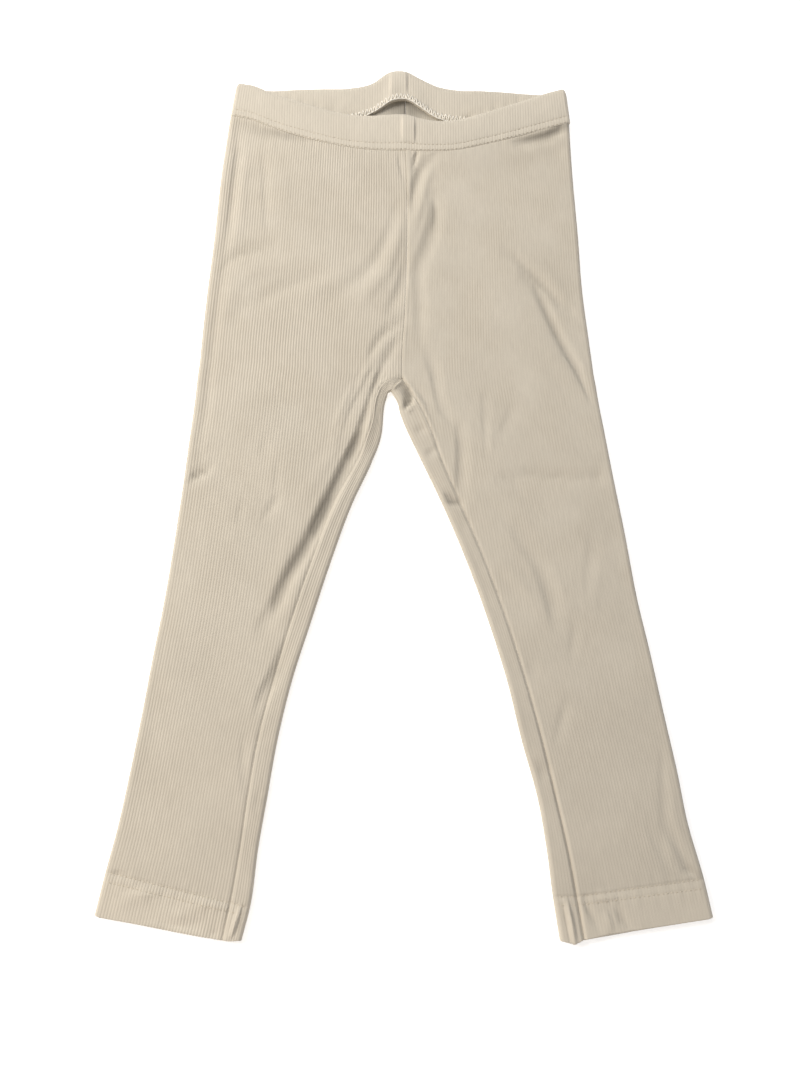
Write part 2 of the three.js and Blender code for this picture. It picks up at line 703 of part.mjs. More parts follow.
function piece(name, body, material) {
  const mesh = new THREE.Mesh(body.geometry(), material);
  mesh.name = name;
  mesh.position.set(-middle.x, -middle.y, 0);
  return mesh;
}

const leggings = new THREE.Group();
leggings.add(piece("leg_right", legBody(rightLegSections, -1), jersey("#e3d8c3")));
leggings.add(piece("leg_left", legBody(leftLegSections, 1), jersey("#e3d8c3")));
leggings.add(piece("waistband", waistbandBody(), jersey("#e6dcc8")));

export default leggings;
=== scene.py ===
import math

import bpy
import numpy as np
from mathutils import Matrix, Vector


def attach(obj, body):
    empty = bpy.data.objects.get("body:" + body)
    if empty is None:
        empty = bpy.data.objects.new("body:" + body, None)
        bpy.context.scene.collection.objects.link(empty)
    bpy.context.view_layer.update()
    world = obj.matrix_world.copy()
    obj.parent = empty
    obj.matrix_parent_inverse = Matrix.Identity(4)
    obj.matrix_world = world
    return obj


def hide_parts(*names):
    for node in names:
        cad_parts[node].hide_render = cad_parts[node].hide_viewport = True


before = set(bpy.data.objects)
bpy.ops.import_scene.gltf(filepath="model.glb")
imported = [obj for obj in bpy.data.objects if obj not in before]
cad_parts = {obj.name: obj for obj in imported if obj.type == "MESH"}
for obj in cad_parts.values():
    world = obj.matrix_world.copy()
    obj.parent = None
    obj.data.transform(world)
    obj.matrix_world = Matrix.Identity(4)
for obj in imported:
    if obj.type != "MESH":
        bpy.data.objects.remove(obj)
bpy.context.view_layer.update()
print("frame loaded")

mm = 0.001  # everything below is in millimetres

# The photograph looks down steeply from the hem end
cameraSetup = {
    "lens": 27.02,
    "sensor": 36.0,  # on the long side of the image
    "place": (-2.2, -134.1, 503.2),
    "lookAt": (-2.2, -45.4, 0.0),
}


def aim(thing, place, target):
    thing.location = Vector(place) * mm
    thing.rotation_euler = (Vector(target) - Vector(place)).to_track_quat("-Z", "Y").to_euler()


bpy.ops.object.camera_add()
camera = bpy.context.object
camera.name = "camera"
camera.data.lens = cameraSetup["lens"]
camera.data.sensor_width = cameraSetup["sensor"]
camera.data.sensor_fit = "AUTO"
camera.data.clip_start = 0.01
aim(camera, cameraSetup["place"], cameraSetup["lookAt"])
bpy.context.scene.camera = camera

# Cloth and its ribs
cloth = {
    "wall": 1.0,
    "ribPitch": 1.8,
    "ribHeight": 0.19,
    "backRibs": 0.28,  # how deep the valleys of the back are
    "backSeam": 0.45,
    "foldRibs": 0.22,
    "stripRibs": 6,  # ribs of the back half that show beside the inseam
    "columnsPerRib": 4,
    "backColumnsPerRib": 2,
    "seamDip": 0.75,  # how deep the cloth rolls into the inseam
    "riseDip": 0.36,  # and at most into the centre front, which lies flatter
    "seamRoll": 1.0,
    "seamGap": 0.1,
    "allowance": 3.4,  # seam allowance pressed to one side under the centre front
    "pressed": 0.22,
    "gathers": 0.08,  # where the elastic draws the cloth in
    "rowStep": 3.7,
}

# Heights of the laid legs, as the part has them
laid = {
    "height": 4.5,
    "waistHeight": 5.5,
    "waistSlope": 26.0,
    "foldReach": 2.4,
    "edgeFade": 7.0,
    "centre": (0.0, 0.9),  # the middle of the outline, which is the origin
}

hem = {
    "depth": 25.0,
    "turning": 0.8,  # extra thickness of the turned-up layer
    "step": 0.12,
    "rows": (25.0, 20.0),  # the two needle rows, up from the edge where they run parallel to it
    "dips": (0.33, 0.12),  # how deep each row sinks in
    "pinch": 1.5,  # how much higher the ribs stand between the two rows
    "gathers": 0.07,
    "edgeRound": 0.6,
    "waistRound": 0.45,  # the same rounding under the waistband, as a share of it
    "scallop": 0.28,
    "hang": 14.0,  # length over which the uneven edge evens out
}

# Sections of a leg from the waist seam to the hem edge: where the outer fold begins, the
# centre front and then the inseam, the centre back and then where the inner fold begins.
rightLegSections = [
    # outerX, outerY, seamX, seamY, innerX, innerY
    (-118, 249.5, 1.5, 224.5, 1.5, 224.5),
    (-122.5, 207.5, 2.5, 192, 2.5, 192),
    (-125.5, 158.5, 2.5, 151, 2.5, 151),
    (-129, 115, 1, 106.5, 1, 106.5),
    (-131, 83, -1, 72.5, -1, 72.5),
    (-131.5, 72.5, -1, 58, -6.5, 51.5),
    (-132, 66, -8, 57.5, -9.5, 51),
    (-132.5, 60.5, -13.5, 54, -11.5, 48.5),
    (-133, 53, -17.5, 46, -14, 42.5),
    (-134, 38.5, -20, 29.5, -15.5, 23.5),
    (-136, 17.5, -28, 6.5, -22.5, 3),
    (-138.5, -10.5, -43.5, -23.5, -35, -25),
    (-142.5, -49.5, -57.5, -62, -48.5, -63.5),
    (-147, -87.5, -69.5, -99.5, -60, -100.5),
    (-152.5, -124, -79.5, -135, -71, -136.5),
    (-157.5, -159.5, -88, -171, -79, -172),
    (-163, -195, -93.5, -206.5, -84.5, -207),
    (-168, -223.5, -97, -235.5, -89, -236),
    (-173.5, -248, -101, -262, -92, -264),
    (-178.5, -272.5, -105.5, -284, -97, -285.5),
]
leftLegSections = [
    (113, 246, 1.5, 224.5, 1.5, 224.5),
    (114, 207.5, 2.5, 192, 2.5, 192),
    (116, 160.5, 2.5, 151, 2.5, 151),
    (117.5, 117.5, 1, 106.5, 1, 106.5),
    (120.5, 83, -1, 72.5, -1, 72.5),
    (121.5, 72, -1, 58, -6.5, 51.5),
    (122, 66.5, 2.5, 52.5, -4, 47.5),
    (122.5, 61, 6.5, 46, -1.5, 42.5),
    (123.5, 54, 11.5, 37.5, 0, 36),
    (125, 41.5, 17.5, 24, 3.5, 25.5),
    (128, 21, 24, 5, 13.5, 4),
    (132, -7, 35, -22.5, 26, -23),
    (138, -46, 51, -62, 42, -62),
    (143.5, -86, 64, -99.5, 55, -99.5),
    (150, -120.5, 75, -136.5, 66, -136.5),
    (156.5, -158, 84, -172, 74, -172),
    (162.5, -191.5, 91.5, -207, 83, -207),
    (167, -221, 97.5, -236, 87.5, -236.5),
    (174.5, -252, 102, -265, 90.5, -265),
    (178.5, -273.5, 105, -285.5, 93.5, -286),
]
crotchRow = 5

# Lower and upper edge of the waistband's front and of its back, from the right side fold
bandSections = [
    # x, frontLow, frontTop, backLow, backTop
    (-118, 249.5, 274.5, 250.5, 275.5),
    (-105, 246.5, 272, 248.5, 272),
    (-93, 241.5, 267, 247, 271),
    (-74, 234.5, 260.5, 246.5, 272),
    (-56, 229.5, 254.5, 247, 272.5),
    (-38, 225.5, 250, 248.5, 273),
    (-22, 223.5, 249, 253.5, 276.8),
    (-9, 223, 250, 261, 286),
    (2, 223, 250, 263, 286.3),
    (12, 222.5, 247, 257, 280.7),
    (24, 222.5, 245, 249.5, 274.5),
    (38, 223.5, 246, 246.5, 271.5),
    (54, 227, 250.5, 246.5, 271),
    (70, 231, 256, 245, 270),
    (86, 235.5, 261.5, 244, 268.5),
    (100, 240, 266.5, 243.5, 268),
    (112, 244, 270, 245.5, 270.5),
]

# Creases of the front layer: height at the middle, half the width, and the path. A pair of
# widths is the left and the right side of it; with one width, the cloth drops quickly on the
# left of a trough and on the right of a ridge, and slowly on the other side.
creases = [
    # right hip, outer edge
    (-1.1, 4, [(-119, 240.5), (-114.5, 223.5), (-116.5, 200.5), (-118, 178), (-120, 159.5), (-121.5, 146)]),
    (-0.7, 4, [(-122.5, 140), (-123, 123.5), (-124, 112.5), (-126, 95), (-128.5, 70.5), (-129, 43),
        (-133, 12.5)]),
    (-1.5, 7, [(-116, 245), (-98, 237.5), (-71.5, 232.5), (-56, 230.5)]),
    (-0.4, 3.2, [(-97.5, 223.5), (-95.5, 204.5), (-94.5, 185.5), (-93, 163.5)]),
    (0.3, 4.5, [(-108, 212), (-109.5, 193), (-109.5, 174.5), (-110.5, 159.5)]),
    (0.3, 8, [(-88.5, 219.5), (-81, 193), (-83.5, 171)]),
    # right hip, across
    (-1.14, 4.1, [(-121.5, 135.5), (-118, 141.5), (-110, 147.5), (-98, 150), (-88.5, 152.5)]),
    (0.56, 7.7, [(-118, 111), (-109.5, 126.5), (-97.5, 135.5), (-69.5, 143), (-46, 138.5)]),
    (-0.95, 6.8, [(-96.5, 109), (-90.5, 116), (-79, 123.5), (-66, 128.5), (-48, 132)]),
    (-0.47, 6.8, [(-116, 97), (-105.5, 108.5), (-94, 115)]),
    (0.42, 6.6, [(-69, 111), (-55.5, 122.5), (-39, 134)]),
    (-0.85, 6.1, [(-3.5, 182), (-9, 162), (-17, 145), (-26.5, 132), (-39, 121), (-51.5, 112)]),
    (0.9, 5, [(-2, 174.5), (-4, 152.5), (-10.5, 134), (-19, 123.5), (-27.5, 111)]),
    (-1.04, 4.1, [(1, 140), (-1, 127), (-5, 116), (-10, 106.5)]),
    (-0.76, 2.2, [(-3.5, 217.5), (-2, 210.5), (0, 203)]),
    (-1.5, 1.6, [(9.5, 222.5), (8.3, 217.5), (6.5, 211.5)]),
    # right side of the crotch
    (-1.52, 3.4, [(-1, 98), (-5, 95), (-11, 91.5), (-15.5, 86.5), (-19.5, 80), (-22.5, 72.5)]),
    (-0.66, 4.1, [(-20.5, 77.5), (-28.5, 60), (-32, 48.5), (-37.5, 35), (-43, 20)]),
    (0.91, 3.6, [(-1, 91.5), (-7.5, 88), (-13, 83), (-18, 74.5), (-22, 67.5), (-26, 60), (-29, 52.5),
        (-33.5, 44.5), (-38, 35), (-43.5, 16)]),
    (-1.23, 3.2, [(-3.5, 85), (-9, 76), (-12.5, 69), (-16, 60), (-20, 48.5)]),
    (-1.61, 3.8, [(-16, 60), (-20.5, 45), (-25.5, 30.5), (-30, 18.5), (-35, 6.5)]),
    (0.7, 2.7, [(-8, 70), (-12.5, 63), (-16, 54), (-18.5, 44.5), (-20.5, 35), (-22.5, 26.5), (-25, 18.5)]),
    # main fold of the right thigh
    (-2.7, (4, 10), [(-29.5, 18.5), (-36.5, 4), (-43, -10.5), (-50, -25.5), (-57.5, -42)]),
    (-2.4, (4.5, 9), [(-50, -25.5), (-57.5, -42), (-63.5, -54.5), (-70, -65.5), (-76, -78), (-80.5, -90)]),
    (-0.85, 5.4, [(-77.5, -82.5), (-83, -93.5), (-89.5, -106)]),
    (0.63, 6.8, [(-25.5, 16), (-31, 2.5), (-37.5, -10.5), (-41.5, -23.5), (-48, -36.5), (-51.5, -49.5),
        (-55.5, -62)]),
    (0.42, 5.4, [(-60, -68.5), (-65, -82.5), (-72, -96)]),
    (0.35, 4.3, [(-38, 21.5), (-44, 9.5), (-52, -4), (-58.5, -14), (-64, -23.5)]),
    (0.35, 6.8, [(-67.5, -42), (-73.5, -56), (-77.5, -67.5), (-86, -83.5)]),
    # left side of the crotch, with the pocket where the cloth tucks in beside the inseam
    (-2.9, (7, 3), [(-0.5, 55.5), (3, 50), (5, 45.5), (4, 41.5), (1, 38.5), (-2, 37)]),
    (0.7, 2.4, [(-1, 33.5), (2.5, 35), (7, 39)]),
    (-0.57, 2.7, [(5.5, 53), (11, 47.5), (16, 41.5)]),
    (0.56, 3, [(8, 47.5), (13.5, 36), (16.5, 28), (21, 17.5)]),
    (-0.95, 4.3, [(15.5, 74), (19, 63.5), (21.5, 53), (23, 43), (24.5, 37)]),
    (0.28, 5.4, [(25.5, 58), (27, 44.5)]),
    (-0.47, 4.1, [(24, 39.5), (29, 30.5), (33.5, 24)]),
    (-1.04, 4.3, [(36, 25.5), (36.5, 12.5), (36.5, 1.5), (36, -10.5), (35.5, -21.5)]),
    # beside the centre front, left leg
    (-1.52, 4.1, [(22.5, 219), (17, 215), (11.5, 208.5), (9, 200.5), (7.5, 191.5), (6.5, 180.5)]),
    (0.8, 4.6, [(18.5, 208.5), (15, 197), (12, 185.5), (9.5, 174.5), (6, 162)]),
    (-1.3, 5.4, [(20.5, 188.5), (21, 178), (20, 169.5), (16.5, 157.5), (13.5, 148.5), (10, 139.5),
        (8, 129)]),
    (-0.57, 2.2, [(21, 185.5), (21.5, 174.5), (20, 165)]),
    (-0.76, 6.1, [(9, 135.5), (10.5, 120), (11, 105.5), (11, 84.5)]),
    (0.24, 1.8, [(4.5, 140), (2.5, 120), (2, 98.5), (1, 81), (1.5, 69)]),
    # left hip
    (-2.5, 3.8, [(78, 229.5), (88, 232), (98.5, 235), (107.5, 239.5), (125, 248.5)]),
    (-0.57, 4.1, [(96.5, 226), (105.5, 222), (113.5, 217.5)]),
    (0.42, 6.6, [(66.5, 216), (87.5, 222), (108.5, 229)]),
    (-1.3, 3.4, [(67, 148.5), (73, 144.5), (78.5, 138.5), (85, 132), (91.5, 125), (98, 117),
        (104.5, 109), (111, 105), (118, 102)]),
    (0.42, 5.4, [(94, 135.5), (101.5, 125.5), (110, 113.5)]),
    (-1.52, 3.4, [(79.5, 130), (87.5, 122), (91.5, 112.5), (96.5, 100), (101.5, 88), (106.5, 77.5),
        (112, 67), (117, 56.5), (122, 44.5)]),
    (0.42, 5.4, [(88, 97), (95.5, 83), (103, 70.5), (110.5, 56.5), (117, 44.5)]),
    (-0.76, 3, [(121, 79), (122.5, 65), (124.5, 51)]),
    # right knee
    (-1.9, 2.8, [(-140.5, -11), (-135.5, -7.5), (-130.5, -5.5), (-124.5, -2.5)]),
    (-0.47, 4.1, [(-139, 0), (-132.5, 2), (-126, 3.5)]),
    (-0.47, 2.7, [(-131.5, 9.5), (-126, 10), (-120.5, 7.5), (-114.5, 2)]),
    (0.42, 5.4, [(-134.5, -16), (-127, -14), (-118, -11)]),
    (-0.28, 4.1, [(-126, -3.5), (-114.5, -7.5), (-100, -6.5)]),
    (-0.85, 3.1, [(-80, -21.5), (-85, -29), (-89.5, -34.5)]),
    (-0.33, 3, [(-81, 2), (-81.5, -10.5), (-82, -19)]),
    (-0.33, 3, [(-103.5, -25.5), (-105, -36.5)]),
    (-0.28, 4.1, [(-89, 18.5), (-91, 5.5)]),
    # left knee
    (-0.4, 3.4, [(52.5, 46.5), (52.5, 29.5), (53.5, 16), (53, 4.5)]),
    (0.28, 3.4, [(56.5, 26), (56.5, 8)]),
    (-0.38, 4.1, [(70.5, 37.5), (67, 28), (63, 20)]),
    (-1, 3.6, [(60.5, -9.5), (81, -6.5), (100, -7.5), (119.5, -8), (131.5, -6.5)]),
    (-0.76, 2.7, [(120.5, -8.5), (126.5, -7.5), (133, -7.5)]),
    (-0.57, 2.7, [(63, -9.5), (70, -12.5), (76.5, -16.5)]),
    (-0.43, 5.4, [(50.5, -22.5), (58, -30), (64.5, -36.5), (72, -44.5)]),
    (-0.76, 5.4, [(70.5, -43), (76.5, -53.5), (82.5, -62), (86.5, -73)]),
    (-1.04, 5.4, [(85.5, -70.5), (89.5, -81), (92, -90.5), (93.5, -100)]),
    (0.56, 6.8, [(62.5, -64), (73, -76.5), (80.5, -86), (89, -98.5)]),
    (-0.4, 4.6, [(118.5, -46.5), (117.5, -59), (115.5, -71.5), (115, -86)]),
    (0.28, 5.4, [(121.5, -67.5), (118.5, -87.5), (117, -98.5)]),
    (-0.47, 3.4, [(106, -104), (104.5, -112), (102.5, -120)]),
    (-0.38, 4.1, [(78.5, -124.5), (78, -135)]),
    # puckers across the back half beside the inseams
    (-0.85, 2.7, [(8, 22), (14.5, 24.5)]),
    (-0.85, 2.7, [(14.5, 6.5), (20.5, 10)]),
    (-2.6, 2.8, [(24, -22.5), (29.5, -23), (36, -25.5)]),
    (0.35, 4.1, [(27, -28), (34.5, -31.5)]),
    (-0.47, 3, [(36, -39), (43, -38.5)]),
    (-0.47, 2.7, [(46, -66.5), (52, -65)]),
    (-0.95, 3.1, [(79.5, -191.5), (87.5, -188)]),
    (0.28, 5.4, [(78, -178), (84, -180.5)]),
    (-0.47, 3, [(-89.5, -170.5), (-81.5, -172.5)]),
    (-1.14, 3.5, [(-88, -206.5), (-81.5, -210.5)]),
    (-0.57, 3, [(-33, -4), (-26.5, -6.5)]),
    # calves
    (-1.42, 4.6, [(-74.5, -118), (-78.5, -129), (-82, -136.5), (-86.5, -145.5), (-89, -153)]),
    (-0.47, 3.5, [(-97, -171), (-97, -186.5), (-94.5, -202.5)]),
    (0.28, 4.1, [(-91, -175.5), (-93, -192.5)]),
    (-0.38, 5.4, [(-162, -228.5), (-154, -235), (-144, -239.5)]),
    (-0.57, 3.4, [(99, -150), (95.5, -160.5), (92, -171)]),
    (-0.47, 4.7, [(157.5, -177), (156, -195.5), (155, -212.5), (153, -228.5)]),
    (0.7, 4.9, [(162, -187.5), (163.5, -201), (164.5, -212.5), (167, -224), (170.5, -235), (174.5, -244)]),
    (-0.76, 5.4, [(155.5, -223), (162, -232.5), (166.5, -241), (174, -249.5)]),
    (0.42, 4.1, [(155, -231.5), (161, -237)]),
    (-0.38, 4.1, [(145, -221.5), (151.5, -235), (156, -246.5)]),
    (-1.04, 4.1, [(164.5, -244.5), (171.5, -248), (176.5, -250.5)]),
    # inside the hems the turned-up layer and the seam allowance are lumpy
    (-0.9, 2.2, [(-176.5, -247.5), (-171, -248), (-164.5, -249.5)]),
    (1.3, 2.3, [(-140.5, -269.5), (-131.5, -272.5), (-122.5, -271)]),
    (1.4, 3.6, [(-123, -265.5), (-113, -265.5), (-104.5, -268)]),
    (1.2, 3.6, [(-166, -265), (-154.5, -261), (-144.5, -259)]),
    (-1, 3, [(-141, -275.5), (-127.5, -275), (-110.5, -274.5)]),
    (-1.2, 3, [(-114, -279), (-107.5, -280)]),
    (0.8, 1.7, [(-149.5, -275), (-130, -279), (-114.5, -282)]),
    (2.4, 1.6, [(-95, -266.5), (-97, -274), (-100, -281.5)]),
    (-0.7, 1.3, [(-92.5, -269.5), (-94, -275), (-96.5, -281.5)]),
    (1.8, 1.4, [(-91, -265), (-91, -272), (-93.5, -280.5)]),
    (-1.2, 2.6, [(105.5, -263), (109.5, -273), (113.5, -279.5)]),
    (-1.3, 3.2, [(124.5, -267.5), (127, -275), (132.5, -279.5)]),
    (1.2, 2.6, [(118.5, -272), (121, -279.5)]),
    (0.8, 3.2, [(112.5, -262), (123, -261.5)]),
    (2.2, 2, [(95.5, -264), (97.5, -274), (99.5, -285)]),
    (-1.2, 1.6, [(93, -265.5), (94.5, -274), (96.5, -285)]),
]


def smooth(value):
    t = np.clip(value, 0, 1)
    return t * t * (3 - 2 * t)


def mix(a, b, t):
    return a + (b - a) * t


def bump(distance, width):
    return np.exp(-((distance / width) ** 2))


# A smooth curve through table rows placed at knots
def curveThrough(knots, rows):
    knots = np.asarray(knots, float)
    rows = np.asarray(rows, float)
    step = np.diff(knots)[:, None]
    rise = np.diff(rows, axis=0) / step
    between = (rise[:-1] * step[1:] + rise[1:] * step[:-1]) / (step[:-1] + step[1:])
    slope = np.concatenate([rise[:1], between, rise[-1:]])

    def curve(where):
        where = np.asarray(where, float)
        i = np.clip(np.searchsorted(knots, where, side="right") - 1, 0, len(knots) - 2)
        span = (knots[i + 1] - knots[i])[..., None]
        t = np.clip((where[..., None] - knots[i][..., None]) / span, 0, 1)
        start = (1 + 2 * t) * (1 - t) ** 2 * rows[i] + t * (1 - t) ** 2 * span * slope[i]
        return start + t * t * (t - 1) * span * slope[i + 1] + t * t * (3 - 2 * t) * rows[i + 1]

    return curve


bandCurve = curveThrough([row[0] for row in bandSections], [row[1:] for row in bandSections])
bandEdges = {"frontLow": 0, "frontTop": 1, "backLow": 2, "backTop": 3}
bandFirst, bandLast = bandSections[0][0], bandSections[-1][0]


def bandEdge(x, name):
    return bandCurve(np.clip(x, bandFirst, bandLast))[..., bandEdges[name]]


# Both legs follow the same centre front and centre back lines down to the crotch
centreRows = rightLegSections[: crotchRow + 1]
frontCentre = curveThrough([-row[3] for row in centreRows], [[row[2]] for row in centreRows])
backCentre = curveThrough([-row[5] for row in centreRows], [[row[4]] for row in centreRows])


# How each leg lies. Beside the crotch the back half sinks away from the front, as deep as the
# layers allow, and the turned-up hems aren't quite even.
rightLeg = {
    "side": -1,
    "sink": 1.3,
    "sinkFrom": 12,  # over what length the sunk stretch begins, how long it is, and how it ends
    "sinkLength": 44,
    "sinkFade": 14,
    "roll": 0.5,  # how far the front rolls down to the inseam there
    "seamShows": 0.15,  # share of the inseam's depth beside the crotch, and towards the hem
    "seamLow": 0.8,
    "lip": -0.2,  # fullness of the strip at the crotch
    "hemSlant": (-1.3, -4.1),  # how far the needle rows climb, at the outer edge and at the inseam
    "hemDrop": (0.1, 0.3, 0.8, 1.0, 1.2),  # how far the edge hangs down across the front
    "stripDrop": (0, 0.9, 1.2),  # and across the strip, from the inner fold
    "hemRibs": 0.7,  # how much higher the ribs stand in the hem
}
leftLeg = {
    "side": 1,
    "sink": 0.5,
    "sinkFrom": 3,
    "sinkLength": 14,
    "sinkFade": 8,
    "roll": 0.2,
    "seamShows": 0.8,
    "seamLow": 1.6,
    "lip": 0.5,
    "hemSlant": (-3.5, 0.2),
    "hemDrop": (0, -0.4, -0.9, -1.3, -0.5),
    "stripDrop": (0, 1.6, -0.5),
    "hemRibs": 2.0,
}
frontKnots = (0, 0.3, 0.6, 0.8, 1)  # where hemDrop is given, from the outer fold to the inseam
stripKnots = (0, 0.5, 1)

creaseLook = {
    "limits": (-2.9, 2.2),
    "slowSide": (2.0, 1.25),  # how much wider the slow side is, on narrow creases and on wide ones
    "narrow": 5.5,
    "rightwards": (0.95, -0.3),  # across most creases, towards the right of the picture
    # painted shade begins in troughs this deep and is full this much deeper
    "darkFrom": 0.7,
    "darkOver": 2.1,
}


# Height that the creases add at each point of the front layer
def creaseHeight(x, y):
    total = np.zeros_like(x)
    towardsX, towardsY = creaseLook["rightwards"]
    for height, half, path in creases:
        if isinstance(half, tuple):
            left, right = half
        else:
            slow = half * creaseLook["slowSide"][half >= creaseLook["narrow"]]
            left, right = (half, slow) if height < 0 else (slow, half)
        reach = max(left, right)
        xs, ys = np.array(path).T
        near = np.flatnonzero(
            (x > xs.min() - reach) & (x < xs.max() + reach) & (y > ys.min() - reach) & (y < ys.max() + reach)
        )
        if not len(near):
            continue
        px, py = x.ravel()[near], y.ravel()[near]
        best = np.full(len(near), 1e9)
        along = np.zeros(len(near))
        toRight = np.zeros(len(near))
        run = 0.0
        for (ax, ay), (bx, by) in zip(path, path[1:]):
            length = math.dist((ax, ay), (bx, by))
            t = np.clip(((px - ax) * (bx - ax) + (py - ay) * (by - ay)) / length**2, 0, 1)
            offX, offY = px - mix(ax, bx, t), py - mix(ay, by, t)
            away = np.hypot(offX, offY)
            closer = away < best
            along = np.where(closer, run + t * length, along)
            toRight = np.where(closer, (towardsX * offX + towardsY * offY) / np.maximum(away, 1e-6), toRight)
            best = np.minimum(best, away)
            run += length
        width = mix(left, right, smooth(0.5 + 0.8 * toRight))
        across = np.cos(np.clip(best / width, 0, 1) * math.pi / 2) ** 2
        ends = np.sin(math.pi * mix(0.06, 0.94, along / run)) ** 0.6
        total.ravel()[near] += height * across * ends
    return np.clip(total, *creaseLook["limits"])


# Painted shade in the deep troughs, which are really deeper than the laid layers leave room for and would hold
# less light: how much darker each point is drawn
def paintedTroughShade(x, y):
    return np.clip((-creaseHeight(x, y) - creaseLook["darkFrom"]) / creaseLook["darkOver"], 0, 1) ** 1.1


# Slow unevenness of cloth that has been smoothed by hand
def softWaves(x, y):
    slow = 0.16 * np.sin(x / 17 + 1.1 * np.sin(y / 41)) * np.sin(y / 33 + 0.8)
    long = 0.10 * np.sin(x / 7.3 + y / 58 + 2 * np.sin(y / 95)) * (0.6 + 0.4 * np.sin(y / 52 + x / 70))
    return slow + long


# The ribs show in patches, where the cloth isn't drawn flat, most on the right hip and least
# towards the hems
def ribShow(x, y):
    across = 0.28 * np.sin(x / 13 + 1.7 * np.sin(y / 37))
    along = 0.22 * np.sin(y / 29 + 2 * np.sin(x / 31 + 1))
    patches = 0.5 + across + along
    return (0.4 + 0.8 * patches) * (1 - 0.6 * smooth((150 - y) / 330)) * mix(1.3, 0.75, smooth((x + 25) / 50))


class LegShape:
    # Where the layers of one leg lie at any distance along it from the waist

    def __init__(self, sections, look):
        self.side = look["side"]
        self.look = look
        rows = np.array(sections, float)
        middle = (rows[:, 0:2] + rows[:, 2:4]) / 2
        self.knots = np.concatenate([[0], np.cumsum(np.hypot(*np.diff(middle, axis=0).T))])
        self.length = self.knots[-1]
        self.crotch = self.knots[crotchRow]
        self.upper = curveThrough(self.knots[: crotchRow + 1], rows[: crotchRow + 1])
        self.lower = curveThrough(self.knots[crotchRow:], rows[crotchRow:])
        places = np.arange(0, self.length + 1, 1.0)
        section = self.section(places)
        self.places = places
        self.frontMost = np.maximum.accumulate(section["width"][::-1])[::-1]
        self.backMost = np.maximum.accumulate(section["backWidth"][::-1])[::-1]

    def section(self, at):
        at = np.clip(np.asarray(at, float), 0, self.length)
        above = (at < self.crotch)[..., None]
        row = np.where(above, self.upper(at), self.lower(at))
        row[..., 2:3] = np.where(above, frontCentre(-row[..., 3]), row[..., 2:3])
        row[..., 4:5] = np.where(above, backCentre(-row[..., 5]), row[..., 4:5])
        row[..., 0::2] += self.side * cloth["seamGap"] / 2
        outer, seam, inner = row[..., 0:2], row[..., 2:4], row[..., 4:6]
        width = np.linalg.norm(seam - outer, axis=-1)
        strip = np.linalg.norm(inner - seam, axis=-1)
        return {
            "outer": outer, "seam": seam, "inner": inner, "width": width, "strip": strip,
            "backWidth": np.linalg.norm(inner - outer, axis=-1),
            "outward": (outer - seam) / width[..., None],
            "inward": (inner - seam) / np.maximum(strip, 1e-6)[..., None],
        }

    def followBand(self, x, y, at, edge):
        # the layers' upper ends follow the edge of the waistband above them
        fade = 1 - smooth(at / 90)
        top = self.section(0.0)
        share = (x - top["outer"][0]) / (top["seam"][0] - top["outer"][0])
        straight = mix(top["outer"][1], top["seam"][1], share)
        # inside the open waist the back reaches under the raised edge of the band
        gap = mix(0.5, -2.2, bump(x - 2, 20)) if edge == "backLow" else 0.15
        return y + (bandEdge(x, edge) - gap - straight) * fade

    def wall(self, at):
        return cloth["wall"] + hem["turning"] * smooth((at - (self.length - hem["depth"] - 1.2)) / 1.2)

    def upFromHem(self, at, share):
        # distance up from the hem edge, measured so that the needle rows run level
        return self.length - at - mix(*self.look["hemSlant"], share)

    def flatHeight(self, at, share):
        rise = laid["waistHeight"] - laid["height"]
        doubled = smooth((hem["rows"][0] - self.upFromHem(at, share)) / 1.5)
        return laid["height"] + rise * (1 - smooth(at / laid["waistSlope"])) + hem["step"] * doubled

    def needleDip(self, at, share):
        # the two needle rows pull the hem down, the upper one most
        up = self.upFromHem(at, share)
        (high, low), (highDip, lowDip) = hem["rows"], hem["dips"]
        return highDip * bump(up - high, np.where(up > high, 0.9, 2.4)) + lowDip * bump(up - low, 0.7)

    def edgeDip(self, at):
        # the folded edge of the hem and the upper edge under the waistband are round
        r = hem["edgeRound"]
        low = np.clip(r - (self.length - at), 0, r)
        high = np.clip(r - at, 0, r)
        return r - np.sqrt(r * r - low**2) + hem["waistRound"] * (r - np.sqrt(r * r - high**2))

    def hang(self, at, share, knots, drops, ribs):
        # the hem edge hangs down unevenly, and a little further on each rib
        uneven = np.interp(share, knots, drops) * smooth((at - self.length + hem["hang"]) / hem["hang"])
        return uneven + hem["scallop"] * ribs * smooth(at - self.length + 1)

    def nearCrotch(self, at):
        # 1 from the crotch down to where the sunk stretch of the back half ends
        past = (at - self.crotch - self.look["sinkLength"]) / self.look["sinkFade"]
        return (1 - smooth(past)) * (at >= self.crotch - 1e-6)

    def sink(self, at, away):
        begins = smooth((at - self.crotch) / self.look["sinkFrom"])
        return self.look["sink"] * self.nearCrotch(at) * begins * smooth(away)

    def topHeight(self, x, y, at, share, section, sink):
        fromOuter = np.hypot(x - section["outer"][..., 0], y - section["outer"][..., 1])
        fromInner = np.hypot(x - section["inner"][..., 0], y - section["inner"][..., 1])
        fade = smooth(fromOuter / laid["edgeFade"])
        fade = fade * np.where(at > self.crotch, smooth(fromInner / (laid["edgeFade"] / 2)), 1)
        inHem = smooth((at - (self.length - hem["depth"] - 0.75)) / 1.5)
        fade = fade * (1 - 0.35 * inHem) * smooth(at / 9 + 0.35)
        height = self.flatHeight(at, share) + fade * (creaseHeight(x, y) + softWaves(x, y)) - sink
        lowest = 2 * self.wall(at) + 0.15
        return np.maximum(height, lowest)

